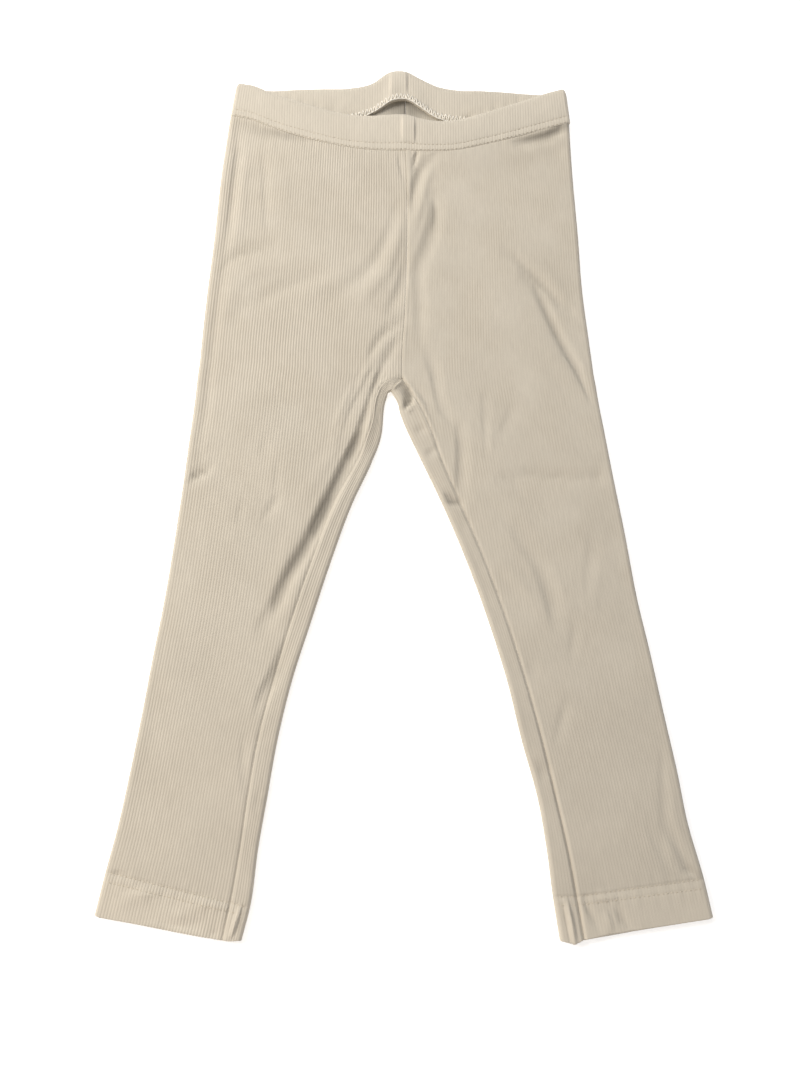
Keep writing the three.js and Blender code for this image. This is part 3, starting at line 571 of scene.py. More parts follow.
    def seamDip(self, toSeam, at):
        crotch = self.nearCrotch(at)
        lower = smooth((at - self.length + 200) / 150)
        shows = mix(mix(0.75, self.look["seamLow"], lower), self.look["seamShows"], crotch)
        riseDip = cloth["riseDip"] * (0.25 + 0.75 * bump(at - 88, 34))
        depth = np.where(at < self.crotch, riseDip, cloth["seamDip"] * shows)
        rolled = self.look["roll"] * crotch * smooth((at - self.crotch) / 14) * bump(toSeam - 1.6, 1.8)
        inAllowance = 1 - smooth((toSeam - cloth["allowance"]) / 0.9 + 0.5)
        pressed = cloth["pressed"] * (1 - smooth((at - 30) / 25)) * (self.side > 0) * inAllowance
        return depth * bump(toSeam, cloth["seamRoll"]) - rolled - pressed

    # Grid points: at runs down the leg and the shares run across, both as 2D arrays
    def front(self, at, distance, inside):
        section = self.section(at[:, :1])
        most = np.interp(at, self.places, self.frontMost)
        share = np.minimum(1, distance / most)
        toSeam = section["width"] * (1 - share)
        xy = mix(section["outer"], section["seam"], share[..., None])
        x = xy[..., 0]
        y = self.followBand(x, xy[..., 1], at, "frontLow")
        z = self.topHeight(x, y, at, share, section, 0)
        if inside:
            return np.stack([x, y, z - self.wall(at) - 0.3 * bump(toSeam, 3)], -1), share
        up = self.upFromHem(at, share)
        ribs = abs(np.sin(math.pi * distance / cloth["ribPitch"])) ** 0.8
        ribFade = 1 - bump(toSeam, 0.8)
        pinched = 1 + hem["pinch"] * bump(up - sum(hem["rows"]) / 2, 2.4)
        pinched = pinched + self.look["hemRibs"] * smooth((24 - up) / 3)
        z = z + cloth["ribHeight"] * ribShow(x, y) * ribs * ribFade * pinched - self.seamDip(toSeam, at)
        z = z - self.needleDip(at, share) - self.edgeDip(at)
        # the elastic and the hem stitches gather the cloth a little
        gathers = np.sin(distance / 1.15 + 1.2 * np.sin(distance / 9.0))
        z = z + cloth["gathers"] * gathers * np.exp(-at / 6) * smooth(at / 1.5)
        z = z + hem["gathers"] * gathers * bump(up - 22, 7)
        y = y - self.hang(at, share, frontKnots, self.look["hemDrop"], ribs)
        return np.stack([x, y, z], -1), share

    def strip(self, at, share, inside):
        section = self.section(at[:, :1])
        toSeam = section["strip"] * (1 - share)
        xy = mix(section["inner"], section["seam"], share[..., None])
        x, y = xy[..., 0], xy[..., 1]
        z = self.topHeight(x, y, at, 1.0, section, self.sink(at, 1 - share))
        if inside:
            return np.stack([x, y, z - self.wall(at) - 0.3 * bump(toSeam, 3)], -1)
        ribs = abs(np.sin(math.pi * share * cloth["stripRibs"])) ** 0.8
        z = z + cloth["ribHeight"] * ribShow(x, y) * ribs * (1 - bump(toSeam, 0.8))
        z = z - self.seamDip(toSeam * (1 + 2 * self.nearCrotch(at)), at)
        z = z + self.look["lip"] * bump(at - self.crotch - 0.9, 0.9) * (1 - bump(toSeam, cloth["seamRoll"]))
        z = z - self.needleDip(at, 1.0) - self.edgeDip(at)
        return np.stack([x, y - self.hang(at, share, stripKnots, self.look["stripDrop"], ribs), z], -1)

    def back(self, at, distance, inside):
        section = self.section(at[:, :1])
        most = np.interp(at, self.places, self.backMost)
        share = np.minimum(1, distance / most)
        xy = mix(section["outer"], section["inner"], share[..., None])
        x = xy[..., 0]
        above = at < self.crotch
        y = np.where(above, self.followBand(x, xy[..., 1], at, "backLow"), xy[..., 1])
        if inside:
            return np.stack([x, y, self.wall(at)], -1), share
        toCentre = section["backWidth"] * (1 - share)
        valleys = 1 - abs(np.sin(math.pi * distance / cloth["ribPitch"]))
        z = cloth["backRibs"] * valleys + cloth["backSeam"] * bump(toCentre, 1.0) * above
        z = z + 0.6 * self.edgeDip(at)
        return np.stack([x, y, z], -1), share

    def fold(self, at, turn, inside, outerSide):
        section = self.section(at[:, :1])
        root = section["outer"] if outerSide else section["inner"]
        out = section["outward"] if outerSide else section["inward"]
        atSeam = 0.0 if outerSide else 1.0
        height = self.flatHeight(at, atSeam) - self.sink(at, 1.0) * atSeam
        wall, ribs, edge, dip = self.wall(at), 0, 0, 0
        if not inside:
            wall = 0
            ribs = cloth["foldRibs"] * abs(np.sin(math.pi * 2 * (turn + 1)))
            edge = self.edgeDip(at)
            dip = self.needleDip(at, atSeam)
        angle = turn * math.pi / 2
        reach = (laid["foldReach"] - wall + ribs) * np.cos(angle) - edge * np.cos(angle)
        x = root[..., 0] + out[..., 0] * reach
        y = root[..., 1] + out[..., 1] * reach
        if outerSide:
            onFront = self.followBand(x, y, at, "frontLow")
            onBack = self.followBand(x, y, at, "backLow")
            y = mix(onFront, onBack, (1 - np.sin(angle)) / 2)
        dip = (dip + edge) * np.clip(turn, 0, 1)
        lift = 0.6 * edge * np.clip(-turn, 0, 1)
        z = height / 2 + (height / 2 - wall) * np.sin(angle) - dip + lift
        return np.stack([np.broadcast_to(x, at.shape), np.broadcast_to(y, at.shape), z], -1)


# Fills the strip between two lines of vertices, whichever next point comes first
def zipLines(faces, a, aPlace, b, bPlace):
    i = j = 0
    while i < len(a) - 1 or j < len(b) - 1:
        nextA = aPlace[i + 1] if i < len(a) - 1 else math.inf
        nextB = bPlace[j + 1] if j < len(b) - 1 else math.inf
        if nextA <= nextB:
            face = (a[i], b[j], a[i + 1])
            i += 1
        else:
            face = (a[i], b[j], b[j + 1])
            j += 1
        if len(set(face)) == 3:
            faces.append(face)


def shareAlong(points, line):
    line = [v for n, v in enumerate(line) if n == 0 or v != line[n - 1]]
    steps = np.linalg.norm(np.diff(points[line], axis=0), axis=1)
    run = np.concatenate([[0], np.cumsum(steps)])
    return line, run / run[-1]


def zipEdges(faces, points, a, b):
    lineA, placeA = shareAlong(points, a)
    lineB, placeB = shareAlong(points, b)
    zipLines(faces, lineA, placeA, lineB, placeB)


# Quads of an index grid, without the corners that have run together at a seam
def gridFaces(index, flip):
    faces = []
    a, b, c, d = index[:-1, :-1], index[:-1, 1:], index[1:, 1:], index[1:, :-1]
    for corners in zip(a.ravel().tolist(), b.ravel().tolist(), c.ravel().tolist(), d.ravel().tolist()):
        kept = [v for n, v in enumerate(corners) if v != corners[n - 1]]
        if len(kept) >= 3 and len(set(kept)) == len(kept):
            faces.append(tuple(reversed(kept)) if flip else tuple(kept))
    return faces


# A mesh object in metres, moved so that the outline's middle is the origin
def meshObject(name, points, faces):
    mesh = bpy.data.meshes.new(name)
    placed = (np.array(points) - (*laid["centre"], 0)) * mm
    mesh.from_pydata(placed.tolist(), [], faces)
    mesh.shade_smooth()
    made = bpy.data.objects.new(name, mesh)
    bpy.context.scene.collection.objects.link(made)
    return made


# Cloth has a UV map in units of 100 mm: u across the ribs, v along them
def clothObject(name, points, faces, flatMap):
    made = meshObject(name, points, faces)
    corners = np.empty(len(made.data.loops), int)
    made.data.loops.foreach_get("vertex_index", corners)
    layer = made.data.uv_layers.new(name="clothMap")
    layer.uv.foreach_set("vector", (flatMap[corners] / 100).astype(np.float32).ravel())
    return made


def legRows(shape):
    length, crotch = shape.length, shape.crotch
    rows = list(np.arange(0, length, cloth["rowStep"]))
    rows += [0.2, 0.5, 1.0, 1.8, 2.8, crotch, length]
    rows += [crotch - d for d in (0.5, 1.2, 2.4)] + [crotch + d for d in (0.35, 0.8, 1.3, 2.0, 3.0)]
    rows += list(np.arange(crotch + 4.4, crotch + 60, 2.4))
    rows += list(np.arange(length - 28, length - 14.5, 0.66))
    rows += [length - d for d in (3.0, 1.8, 1.0, 0.6, 0.38, 0.2, 0.07)]
    rows = sorted(rows)
    kept = [rows[0]]
    for row in rows[1:]:
        if row - kept[-1] > 0.12:
            kept.append(row)
        elif row in (crotch, length):
            kept[-1] = row
    return np.array(kept)


# One skin of a leg: its points, its map and its grid of vertex numbers
def legSkin(shape, rows, inside):
    pitch = cloth["ribPitch"]
    step = 3.0 if inside else pitch / cloth["columnsPerRib"]
    backStep = 3.0 if inside else pitch / cloth["backColumnsPerRib"]
    foldSteps, stripSteps = (6, 4) if inside else (16, 24)
    frontMost, backMost = shape.frontMost[0], shape.backMost[0]
    frontCount, backCount = int(np.ceil(frontMost / step)), int(np.ceil(backMost / backStep))

    def spread(values):
        # the rows' distances down the leg beside the values across it
        return [np.broadcast_to(part, (len(rows), len(values))) for part in (rows[:, None], values)]

    distance = np.concatenate([[frontMost + 1], np.arange(frontCount - 1, 0, -1) * step])
    frontPoints, frontShare = shape.front(*spread(distance), inside)
    turns = np.linspace(1, -1, foldSteps + 1)
    outerFold = shape.fold(*spread(turns), inside, True)
    backDistance = np.concatenate([np.arange(1, backCount) * backStep, [backMost + 1]])
    backPoints, backShare = shape.back(*spread(backDistance), inside)
    innerTurns = np.linspace(-1, 1, foldSteps + 1)[1:]
    innerFold = shape.fold(*spread(innerTurns), inside, False)
    stripShare = np.arange(1, stripSteps) / stripSteps
    stripPoints = shape.strip(*spread(stripShare), inside)
    grid = np.concatenate([frontPoints, outerFold, backPoints, innerFold, stripPoints], axis=1)

    # the map counts whole ribs, so that the drawn ones lie on the modelled ones, and its v is
    # the distance up from the hem, so that the hems' doubled cloth starts level
    foldWidth = 4 * pitch
    backWidth = math.ceil(backMost / pitch) * pitch
    u = np.concatenate([
        distance, -foldWidth * (1 - turns) / 2, -foldWidth - backDistance,
        -foldWidth * (3 + innerTurns) / 2 - backWidth,
        -2 * foldWidth - backWidth - stripShare * cloth["stripRibs"] * pitch,
    ])
    plain = spread(np.concatenate([innerTurns, stripShare]))[1]
    toSeam = np.concatenate([frontShare, 0 * spread(turns)[1], backShare, 0 * plain + 1], axis=1)
    flat = np.stack([spread(u)[1], shape.upFromHem(rows[:, None], toSeam)], -1)

    # vertices that meet at the seams become one
    index = np.arange(grid.shape[0] * grid.shape[1]).reshape(grid.shape[:2])
    nFront = len(distance)
    firstBack = nFront + len(turns)
    lastBack = firstBack + len(backDistance) - 1
    joined = frontShare > 1 - 0.16 / shape.section(rows)["width"][:, None]
    index[:, :nFront] = np.where(joined, index[:, :1], index[:, :nFront])
    backs = slice(firstBack, lastBack + 1)
    index[:, backs] = np.where(backShare > 1 - 0.3 / 80, index[:, lastBack: lastBack + 1], index[:, backs])
    return grid.reshape(-1, 3), flat.reshape(-1, 2), index, lastBack


# Painted shadow on the back under the raised edge of the back waist: its darkest share, middle, width, and
# where it begins and over what length it grows
waistShade = {"most": 0.9, "middle": 2.0, "width": 19.0, "from": 244.0, "over": 12.0}


def makeLeg(name, sections, look):
    shape = LegShape(sections, look)
    rows = legRows(shape)
    crotch = int(np.argmin(abs(rows - shape.crotch)))
    outPoints, outFlat, outIndex, outBack = legSkin(shape, rows, False)
    inPoints, inFlat, inIndex, inBack = legSkin(shape, rows, True)
    points = np.concatenate([outPoints, inPoints])
    flat = np.concatenate([outFlat, inFlat])
    inIndex = inIndex + len(outPoints)
    faces = []
    for index, lastBack, flip in ((outIndex, outBack, False), (inIndex, inBack, True)):
        faces += gridFaces(index[: crotch + 1, : lastBack + 1], flip)
        closed = np.concatenate([index, index[:, :1]], axis=1)
        faces += gridFaces(closed[crotch:], flip)

    def border(index, lastBack):
        waist = index[0, : lastBack + 1].tolist()
        below = index[crotch, lastBack:].tolist() + [int(index[crotch, 0])]
        around = index[-1].tolist() + [int(index[-1, 0])]
        return waist, index[: crotch + 1, lastBack].tolist(), below, index[: crotch + 1, 0].tolist(), around

    waistOut, backOut, belowOut, frontOut, hemOut = border(outIndex, outBack)
    waistIn, backIn, belowIn, frontIn, hemIn = border(inIndex, inBack)
    zipEdges(faces, points, waistOut, waistIn)
    zipEdges(faces, points, belowOut, belowIn)
    zipEdges(faces, points, hemIn, hemOut)
    zipLines(faces, frontIn, rows[: crotch + 1], frontOut, rows[: crotch + 1])
    zipLines(faces, backOut, rows[: crotch + 1], backIn, rows[: crotch + 1])

    # only the vertices that the faces use
    used = np.unique(np.concatenate([np.array(face) for face in faces]))
    renumber = np.full(len(points), -1)
    renumber[used] = np.arange(len(used))
    points, flat = points[used], flat[used]
    leg = clothObject(name, points, [tuple(renumber[list(face)].tolist()) for face in faces], flat)

    # painted shade at each point: in the troughs of the front, and a painted shadow on the back
    # under the raised edge of the back waist
    paintedEdgeShadow = waistShade["most"] * bump(points[:, 0] - waistShade["middle"], waistShade["width"])
    paintedEdgeShadow = paintedEdgeShadow * smooth((points[:, 1] - waistShade["from"]) / waistShade["over"])
    onTop = points[:, 2] > laid["height"] / 2 - 0.3
    paintedShade = np.where(onTop, paintedTroughShade(points[:, 0], points[:, 1]), paintedEdgeShadow)
    leg.data.attributes.new("paintedShade", "FLOAT", "POINT").data.foreach_set("value", paintedShade.astype(np.float32))
    return shape, leg


# Waistband: doubled cloth round a flat elastic
band = {
    "wall": 2.6,
    "layerGap": 0.7,
    "depth": 24.5,
    "stitchRows": (0.7, 4.7),  # up from the lower edge
    "rowDip": 0.1,
    "betweenRows": 0.04,
    "puff": 0.55,
    "backPuff": 0.45,
    "puckers": 0.11,
    "frontJoin": (-0.8, 8.1),  # where the elastic's ends lap, left and right edge
    "backJoin": (-9.2, 2.7),
    "frontJoinSoft": (2.2, 0.8),
    "backJoinSoft": (3.0, 1.2),
    "joinHeight": 1.0,
    "ribHeight": 0.06,
    "backRibs": 0.28,
    # how the back's lower edge stands up at the middle: height, place and width
    "arch": ((1.9, 2, 17), (1.4, -8, 5), (0.8, 8, 6)),
    "pressed": 0.75,  # how deep the front's top edge presses into the back
    "lean": (3.0, 2.0),  # the sides slope in towards the top, right and left
    "cornerRound": 4.5,  # at the upper corners, on the side folds
    "step": 0.45,
}
bandFront = bandLast - bandFirst
bandTurn = math.pi * laid["foldReach"]  # length of the way round each side fold

# The band's cross-section, from its lower edge up the outer face, over the top and down the
# inner face: share of the way up, and depth from the outer face
outerRises = (
    0, 0.012, 0.03, 0.055, 0.09, 0.13, 0.16, 0.178, 0.192, 0.21, 0.235,
    0.28, 0.36, 0.46, 0.57, 0.68, 0.79, 0.88, 0.95,
)
innerRises = (0.95, 0.86, 0.74, 0.6, 0.45, 0.3, 0.2, 0.17, 0.1, 0.04)
bandProfile = [(rise, 0.0) for rise in outerRises]
bandProfile += [(1.0, depth) for depth in (0.03, 0.2, 0.4, 0.6, 0.8, 0.97)]
bandProfile += [(rise, 1.0) for rise in innerRises]
bandProfile += [(0.0, depth) for depth in (0.97, 0.7, 0.4, 0.15)]


def joinLift(x, edges, soft):
    left = smooth((x - edges[0]) / soft[0] + 0.5)
    right = 1 - smooth((x - edges[1]) / soft[1] + 0.5)
    return band["joinHeight"] * left * right


# Points of the band by the way round it, from the right side fold over the front
def bandPoints(around, rise, depth):
    fullFront = bandFront + bandTurn
    ribs = abs(np.sin(math.pi * around / cloth["ribPitch"])) ** 0.8
    onFront = around <= bandFront
    onLeft = (around > bandFront) & (around <= fullFront)
    onBack = (around > fullFront) & (around <= fullFront + bandFront)
    turn = np.where(onLeft, (around - bandFront) / bandTurn, 1 - (around - bandFront - fullFront) / bandTurn)
    angle = (1 - 2 * turn) * math.pi / 2
    onSide = np.where(onLeft, bandLast, bandFirst)
    x = np.where(onFront, bandFirst + around, np.where(onBack, bandLast - (around - fullFront), onSide))
    share = np.where(onFront, 0, np.where(onBack, 1, (1 - np.sin(angle)) / 2))
    low = mix(bandEdge(x, "frontLow"), bandEdge(x, "backLow"), share)
    top = mix(bandEdge(x, "frontTop"), bandEdge(x, "backTop"), share)

    # the upper corners are round where the band folds at the sides
    fromFolds = np.minimum(x - bandFirst, bandLast - x)
    sideways = np.where(onFront | onBack, fromFolds, -laid["foldReach"] * np.cos(angle))
    corner = np.clip(band["cornerRound"] - (sideways + laid["foldReach"]), 0, band["cornerRound"])
    top = top - (band["cornerRound"] - np.sqrt(band["cornerRound"] ** 2 - corner**2)) * 0.8

    # what stands up from the flat faces
    outerFace = 1 - smooth(depth * 4)
    innerFace = smooth(depth * 4 - 3)
    up = rise * band["depth"]
    lowRow, highRow = band["stitchRows"]
    elastic = np.sin(math.pi * np.clip((rise - 0.19) / 0.81, 0, 1)) ** 0.6
    rowDip = band["rowDip"] * (bump(up - lowRow, 0.5) + bump(up - highRow, 0.55))
    between = np.sin(math.pi * np.clip((up - lowRow) / (highRow - lowRow), 0, 1)) ** 1.5
    waves = np.sin(around / 2.9 + 1.3 * np.sin(around / 11.0)) * (0.4 + 0.6 * np.sin(around / 23.0) ** 2)
    puckers = band["puckers"] * waves * (bump(up - 2.7, 4.5) + 0.5 * elastic)
    outLift = band["puff"] * elastic - rowDip + band["betweenRows"] * between + puckers
    outLift = outLift + joinLift(x, band["frontJoin"], band["frontJoinSoft"]) * elastic * (share < 0.5)
    shows = smooth((100 - abs(x)) / 30)
    inLift = (band["backPuff"] * elastic - 0.6 * rowDip + 1.5 * puckers) * shows
    inLift = inLift + joinLift(x, band["backJoin"], band["backJoinSoft"]) * elastic * (share > 0.5)
    crest = band["ribHeight"] * ribs
    edge = np.sin(math.pi * np.clip(depth, 0, 1))
    endRound = 0.26 * bump(up, 0.5) + 0.45 * bump(band["depth"] - up, 0.6)
    bulge = np.where(rise > 0.5, edge * (0.7 + 0.7 * crest), np.where(rise < 0.5, -0.25 * edge, 0))
    y = mix(low, top, rise) + bulge
    # the back layer sinks a little along the top edge of the front layer, which presses on it
    inLift = inLift - band["pressed"] * bump(y - bandEdge(x, "frontTop") - 2.6, 1.1) * shows

    # front layer, back layer and the side folds
    wall, gap = band["wall"], band["layerGap"]
    frontZ = mix(2 * wall + gap, wall + gap, depth) + outerFace * (outLift + crest - endRound)
    frontZ = frontZ + innerFace * 0.4 * endRound
    arch = sum(height * bump(x - place, width) for height, place, width in band["arch"]) * (1 - rise) ** 1.2
    backOut = band["backRibs"] * (1 - ribs) + 0.5 * endRound
    backZ = mix(0, wall, depth) + outerFace * backOut + innerFace * (inLift + crest * shows - endRound) + arch
    half = wall + gap / 2
    radius = mix(half, gap / 2, depth) + outerFace * (0.6 * outLift * (1 - share) + 0.6 * crest - endRound)
    reach = mix(laid["foldReach"], gap / 2, depth) + outerFace * (0.6 * crest - endRound)
    turnX = x + reach * np.cos(angle) * np.where(onLeft, 1, -1)
    turnZ = np.maximum(half + radius * np.sin(angle), 0)
    z = np.where(onFront, frontZ, np.where(onBack, backZ, turnZ))
    leanRight, leanLeft = band["lean"]
    lean = leanRight * rise * smooth((-88 - x) / 30) + leanLeft * (1 - rise) * smooth((x - 82) / 30)
    return np.stack([np.where(onFront | onBack, x, turnX) + lean, y, z], -1)


def makeWaistband(name):
    total = 2 * (bandFront + bandTurn)
    count = int(round(total / band["step"]))
    profile = np.array(bandProfile)
    places = np.broadcast_to(np.arange(count) * total / count, (len(profile), count))
    rise, depth = [np.broadcast_to(profile[:, n: n + 1], places.shape) for n in (0, 1)]
    points = bandPoints(places, rise, depth)
    steps = np.hypot(np.diff(profile[:, 0]) * band["depth"], np.diff(profile[:, 1]) * band["wall"])
    alongProfile = np.concatenate([[0], np.cumsum(steps)])
    flat = np.stack([places, np.broadcast_to(alongProfile[:, None], places.shape)], -1)
    index = np.arange(places.size).reshape(places.shape)
    index = np.concatenate([index, index[:1]], axis=0)
    index = np.concatenate([index, index[:, :1]], axis=1)
    return clothObject(name, points.reshape(-1, 3), gridFaces(index, False), flat.reshape(-1, 2))


# Sewing thread: short stitches, sunk at both ends
thread = {
    "radius": 0.19,
    "length": 2.0,
    "pitch": 2.7,
    "sides": 6,
    # along a stitch: share of its length, share of the thickness, and how far it stands up
    "stitch": (
        (0, 0.35, -0.3), (0.12, 0.85, -0.06), (0.35, 1, 0.05),
        (0.65, 1, 0.05), (0.88, 0.85, -0.06), (1, 0.35, -0.3),
    ),
    "lift": 0.04,
    "backHem": 0.55,  # height of the stitches on the underside
    "backBand": 0.4,
}
# Overlock loops that wrap the raw edge inside the back of the waistband
loops = {
    "pitch": 1.3,
    "reach": 4.7,
    "radius": 0.36,
    "fromSides": 26.0,
    "arc": ((0, 0.1), (0.3, 0.3), (0.7, 0.3), (1, 0.1)),  # share of the reach and height over the cloth
    "sides": 5,
}


# A round thread along the points of a path, closed at both ends
def threadTube(path, ahead, radii, sides):
    across = np.cross(ahead, (0.0, 0.0, 1.0))
    across = across / np.linalg.norm(across, axis=1)[:, None]
    raised = np.cross(across, ahead)
    turns = np.arange(sides) * 2 * math.pi / sides
    out = np.cos(turns)[None, :, None] * across[:, None] + np.sin(turns)[None, :, None] * raised[:, None]
    rings = path[:, None] + np.asarray(radii)[:, None, None] * out
    last = (len(path) - 1) * sides
    faces = []
    for ring in range(0, last, sides):
        for side in range(sides):
            a, b = ring + side, ring + (side + 1) % sides
            faces.append((a, b, b + sides, a + sides))
    faces.append(tuple(reversed(range(sides))))
    faces.append(tuple(range(last, last + sides)))
    return rings.reshape(-1, 3).tolist(), faces


def joinParts(parts):
    points, faces = [], []
    for partPoints, partFaces in parts:
        shift = len(points)
        points += partPoints
        faces += [tuple(v + shift for v in face) for face in partFaces]
    return points, faces


# Stitches at even steps along a line given by a function of distance
def stitchRow(place, start, end):
    count = int((end - start) // thread["pitch"])
    begins = start + (np.arange(count) + 0.5) * (end - start) / count - thread["length"] / 2
    shares, sizes, stands = np.array(thread["stitch"]).T
    parts = []
    for first, last in zip(place(begins), place(begins + thread["length"])):
        path = mix(first, last, shares[:, None]) + stands[:, None] * (0, 0, 1)
        ahead = np.tile((last - first) / np.linalg.norm(last - first), (len(path), 1))
        parts.append(threadTube(path, ahead, sizes * thread["radius"], thread["sides"]))
    return joinParts(parts)


def hemStitches(shape):
    parts = []
    for up in hem["rows"]:
        atOuter, atSeam = [shape.length - up - slant for slant in shape.look["hemSlant"]]
        width = float(min(shape.section(atSeam)["width"], np.interp(atSeam, shape.places, shape.frontMost)))
        strip = float(shape.section(atSeam)["strip"])
        backMost = float(np.interp(atSeam, shape.places, shape.backMost))

        def onFront(distance):
            at = mix(atOuter, atSeam, distance / width)[:, None]
            return shape.front(at, distance[:, None], False)[0][:, 0] + (0, 0, thread["lift"])

        def onStrip(distance):
            at = np.full((len(distance), 1), atSeam)
            return shape.strip(at, (distance / strip)[:, None], False)[:, 0] + (0, 0, thread["lift"])

        def onBack(distance):
            at = mix(atOuter, atSeam, distance / backMost)[:, None]
            return shape.back(at, distance[:, None], False)[0][:, 0] * (1, 1, 0) + (0, 0, thread["backHem"])

        parts.append(stitchRow(onFront, 0.5, width - 0.8))
        parts.append(stitchRow(onStrip, 0.3, strip - 0.8))
        parts.append(stitchRow(onBack, 1.0, backMost - 1.0))
    return joinParts(parts)


def bandStitches():
    backStart = bandFront + bandTurn
    parts = []
    for up in band["stitchRows"]:

        def onBand(around):
            points = bandPoints(around, np.full(len(around), up / band["depth"]), np.zeros(len(around)))
            points[:, 2] += np.where(around < bandFront + bandTurn / 2, 0.05, thread["backBand"])
            return points

        parts.append(stitchRow(onBand, 0.5, bandFront - 0.5))
        parts.append(stitchRow(onBand, backStart + 1, backStart + bandFront - 1))
    return joinParts(parts)


def backLoops():
    def onInside(around, up, raised, forward=0.0):
        places = np.array([around]), np.array([up / band["depth"]]), np.array([1.0])
        return bandPoints(*places)[0] + (0, forward, raised)

    start = bandFront + bandTurn + loops["fromSides"]
    length = bandFront - 2 * loops["fromSides"]
    count = int(length / loops["pitch"])
    zigzag, edge = [], []
    for n in range(count):
        around = start + (n + 0.5) * length / count
        reach = loops["reach"] * (0.85 + 0.15 * math.sin(n * 2.4))
        for share, raised in loops["arc"]:
            up = 0.15 + (share if n % 2 == 0 else 1 - share) * reach
            zigzag.append(onInside(around + (share - 0.5) * loops["pitch"] * 0.7, up, raised))
        edge.append(onInside(around, 0.35, 0.25 + 0.12 * math.sin(n * 1.7), -0.2))
    parts = []
    for path, radius in ((np.array(zigzag), loops["radius"]), (np.array(edge), loops["radius"] * 1.2)):
        ahead = np.gradient(path, axis=0)
        ahead = ahead / np.linalg.norm(ahead, axis=1)[:, None]
        parts.append(threadTube(path, ahead, np.full(len(path), radius), loops["sides"]))
    return joinParts(parts)


legRightShape, legRight = makeLeg("legRightCloth", rightLegSections, rightLeg)
print("right leg made", len(legRight.data.polygons), "faces")
legLeftShape, legLeft = makeLeg("legLeftCloth", leftLegSections, leftLeg)
print("left leg made", len(legLeft.data.polygons), "faces")
waistband = makeWaistband("waistbandCloth")
print("waistband made", len(waistband.data.polygons), "faces")
hemThreadRight = meshObject("hemThreadRight", *hemStitches(legRightShape))
hemThreadLeft = meshObject("hemThreadLeft", *hemStitches(legLeftShape))
bandThread = meshObject("bandThread", *bandStitches())
overlockThread = meshObject("overlockThread", *backLoops())
print("threads made")


# Colours: sRGB hex turned linear
def linear(hexColour):
    parts = [int(hexColour[i: i + 2], 16) / 255 for i in (1, 3, 5)]
    return tuple([c / 12.92 if c <= 0.04045 else ((c + 0.055) / 1.055) ** 2.4 for c in parts] + [1.0])


# One node with its settings, the numbers on its sockets and what feeds it
def addNode(material, kind, settings=None, values=None, links=None):
    node = material.node_tree.nodes.new("ShaderNode" + kind)
    for name, value in (settings or {}).items():
        setattr(node, name, value)
    for socket, value in (values or {}).items():
        node.inputs[socket].default_value = value
    for socket, source in (links or {}).items():
        material.node_tree.links.new(source, node.inputs[socket])
    return node


def emptyMaterial(name):
    material = bpy.data.materials.new(name)
    material.use_nodes = True
    material.node_tree.nodes.clear()
    return material


# Rib-knit jersey of cotton and lyocell: fine 1 x 1 ribs with a soft, slightly silky face
jerseyLook = {
    "rib": "#dcd4c5",
    # painted shade in the valleys between the ribs
    "paintedValleyShade": "#c3b8a5",
    "ribsShow": 0.9,
    "patchy": 0.05,
    "streaky": 0.07,
    "roughness": 0.82,
    "sheen": 0.22,
    "paintedShade": 0.5,  # how much darker the painted shade makes the deepest troughs and the back under the waist's raised edge
    "doubled": 0.07,  # how much lighter the cloth is drawn in the hem, up to its needle rows
    "courseMm": 0.9,  # real courses are 0.5 mm, drawn wider so that they show
    "courseShade": 0.06,
    "ankleRibs": 0.3,  # share of the painted valley shade that still shows at the ankles
    "relief": 0.42,
    "reliefMm": 0.22,
}
bandLook = dict(jerseyLook, rib="#dfd7c8", ribsShow=0.35, doubled=0.0)


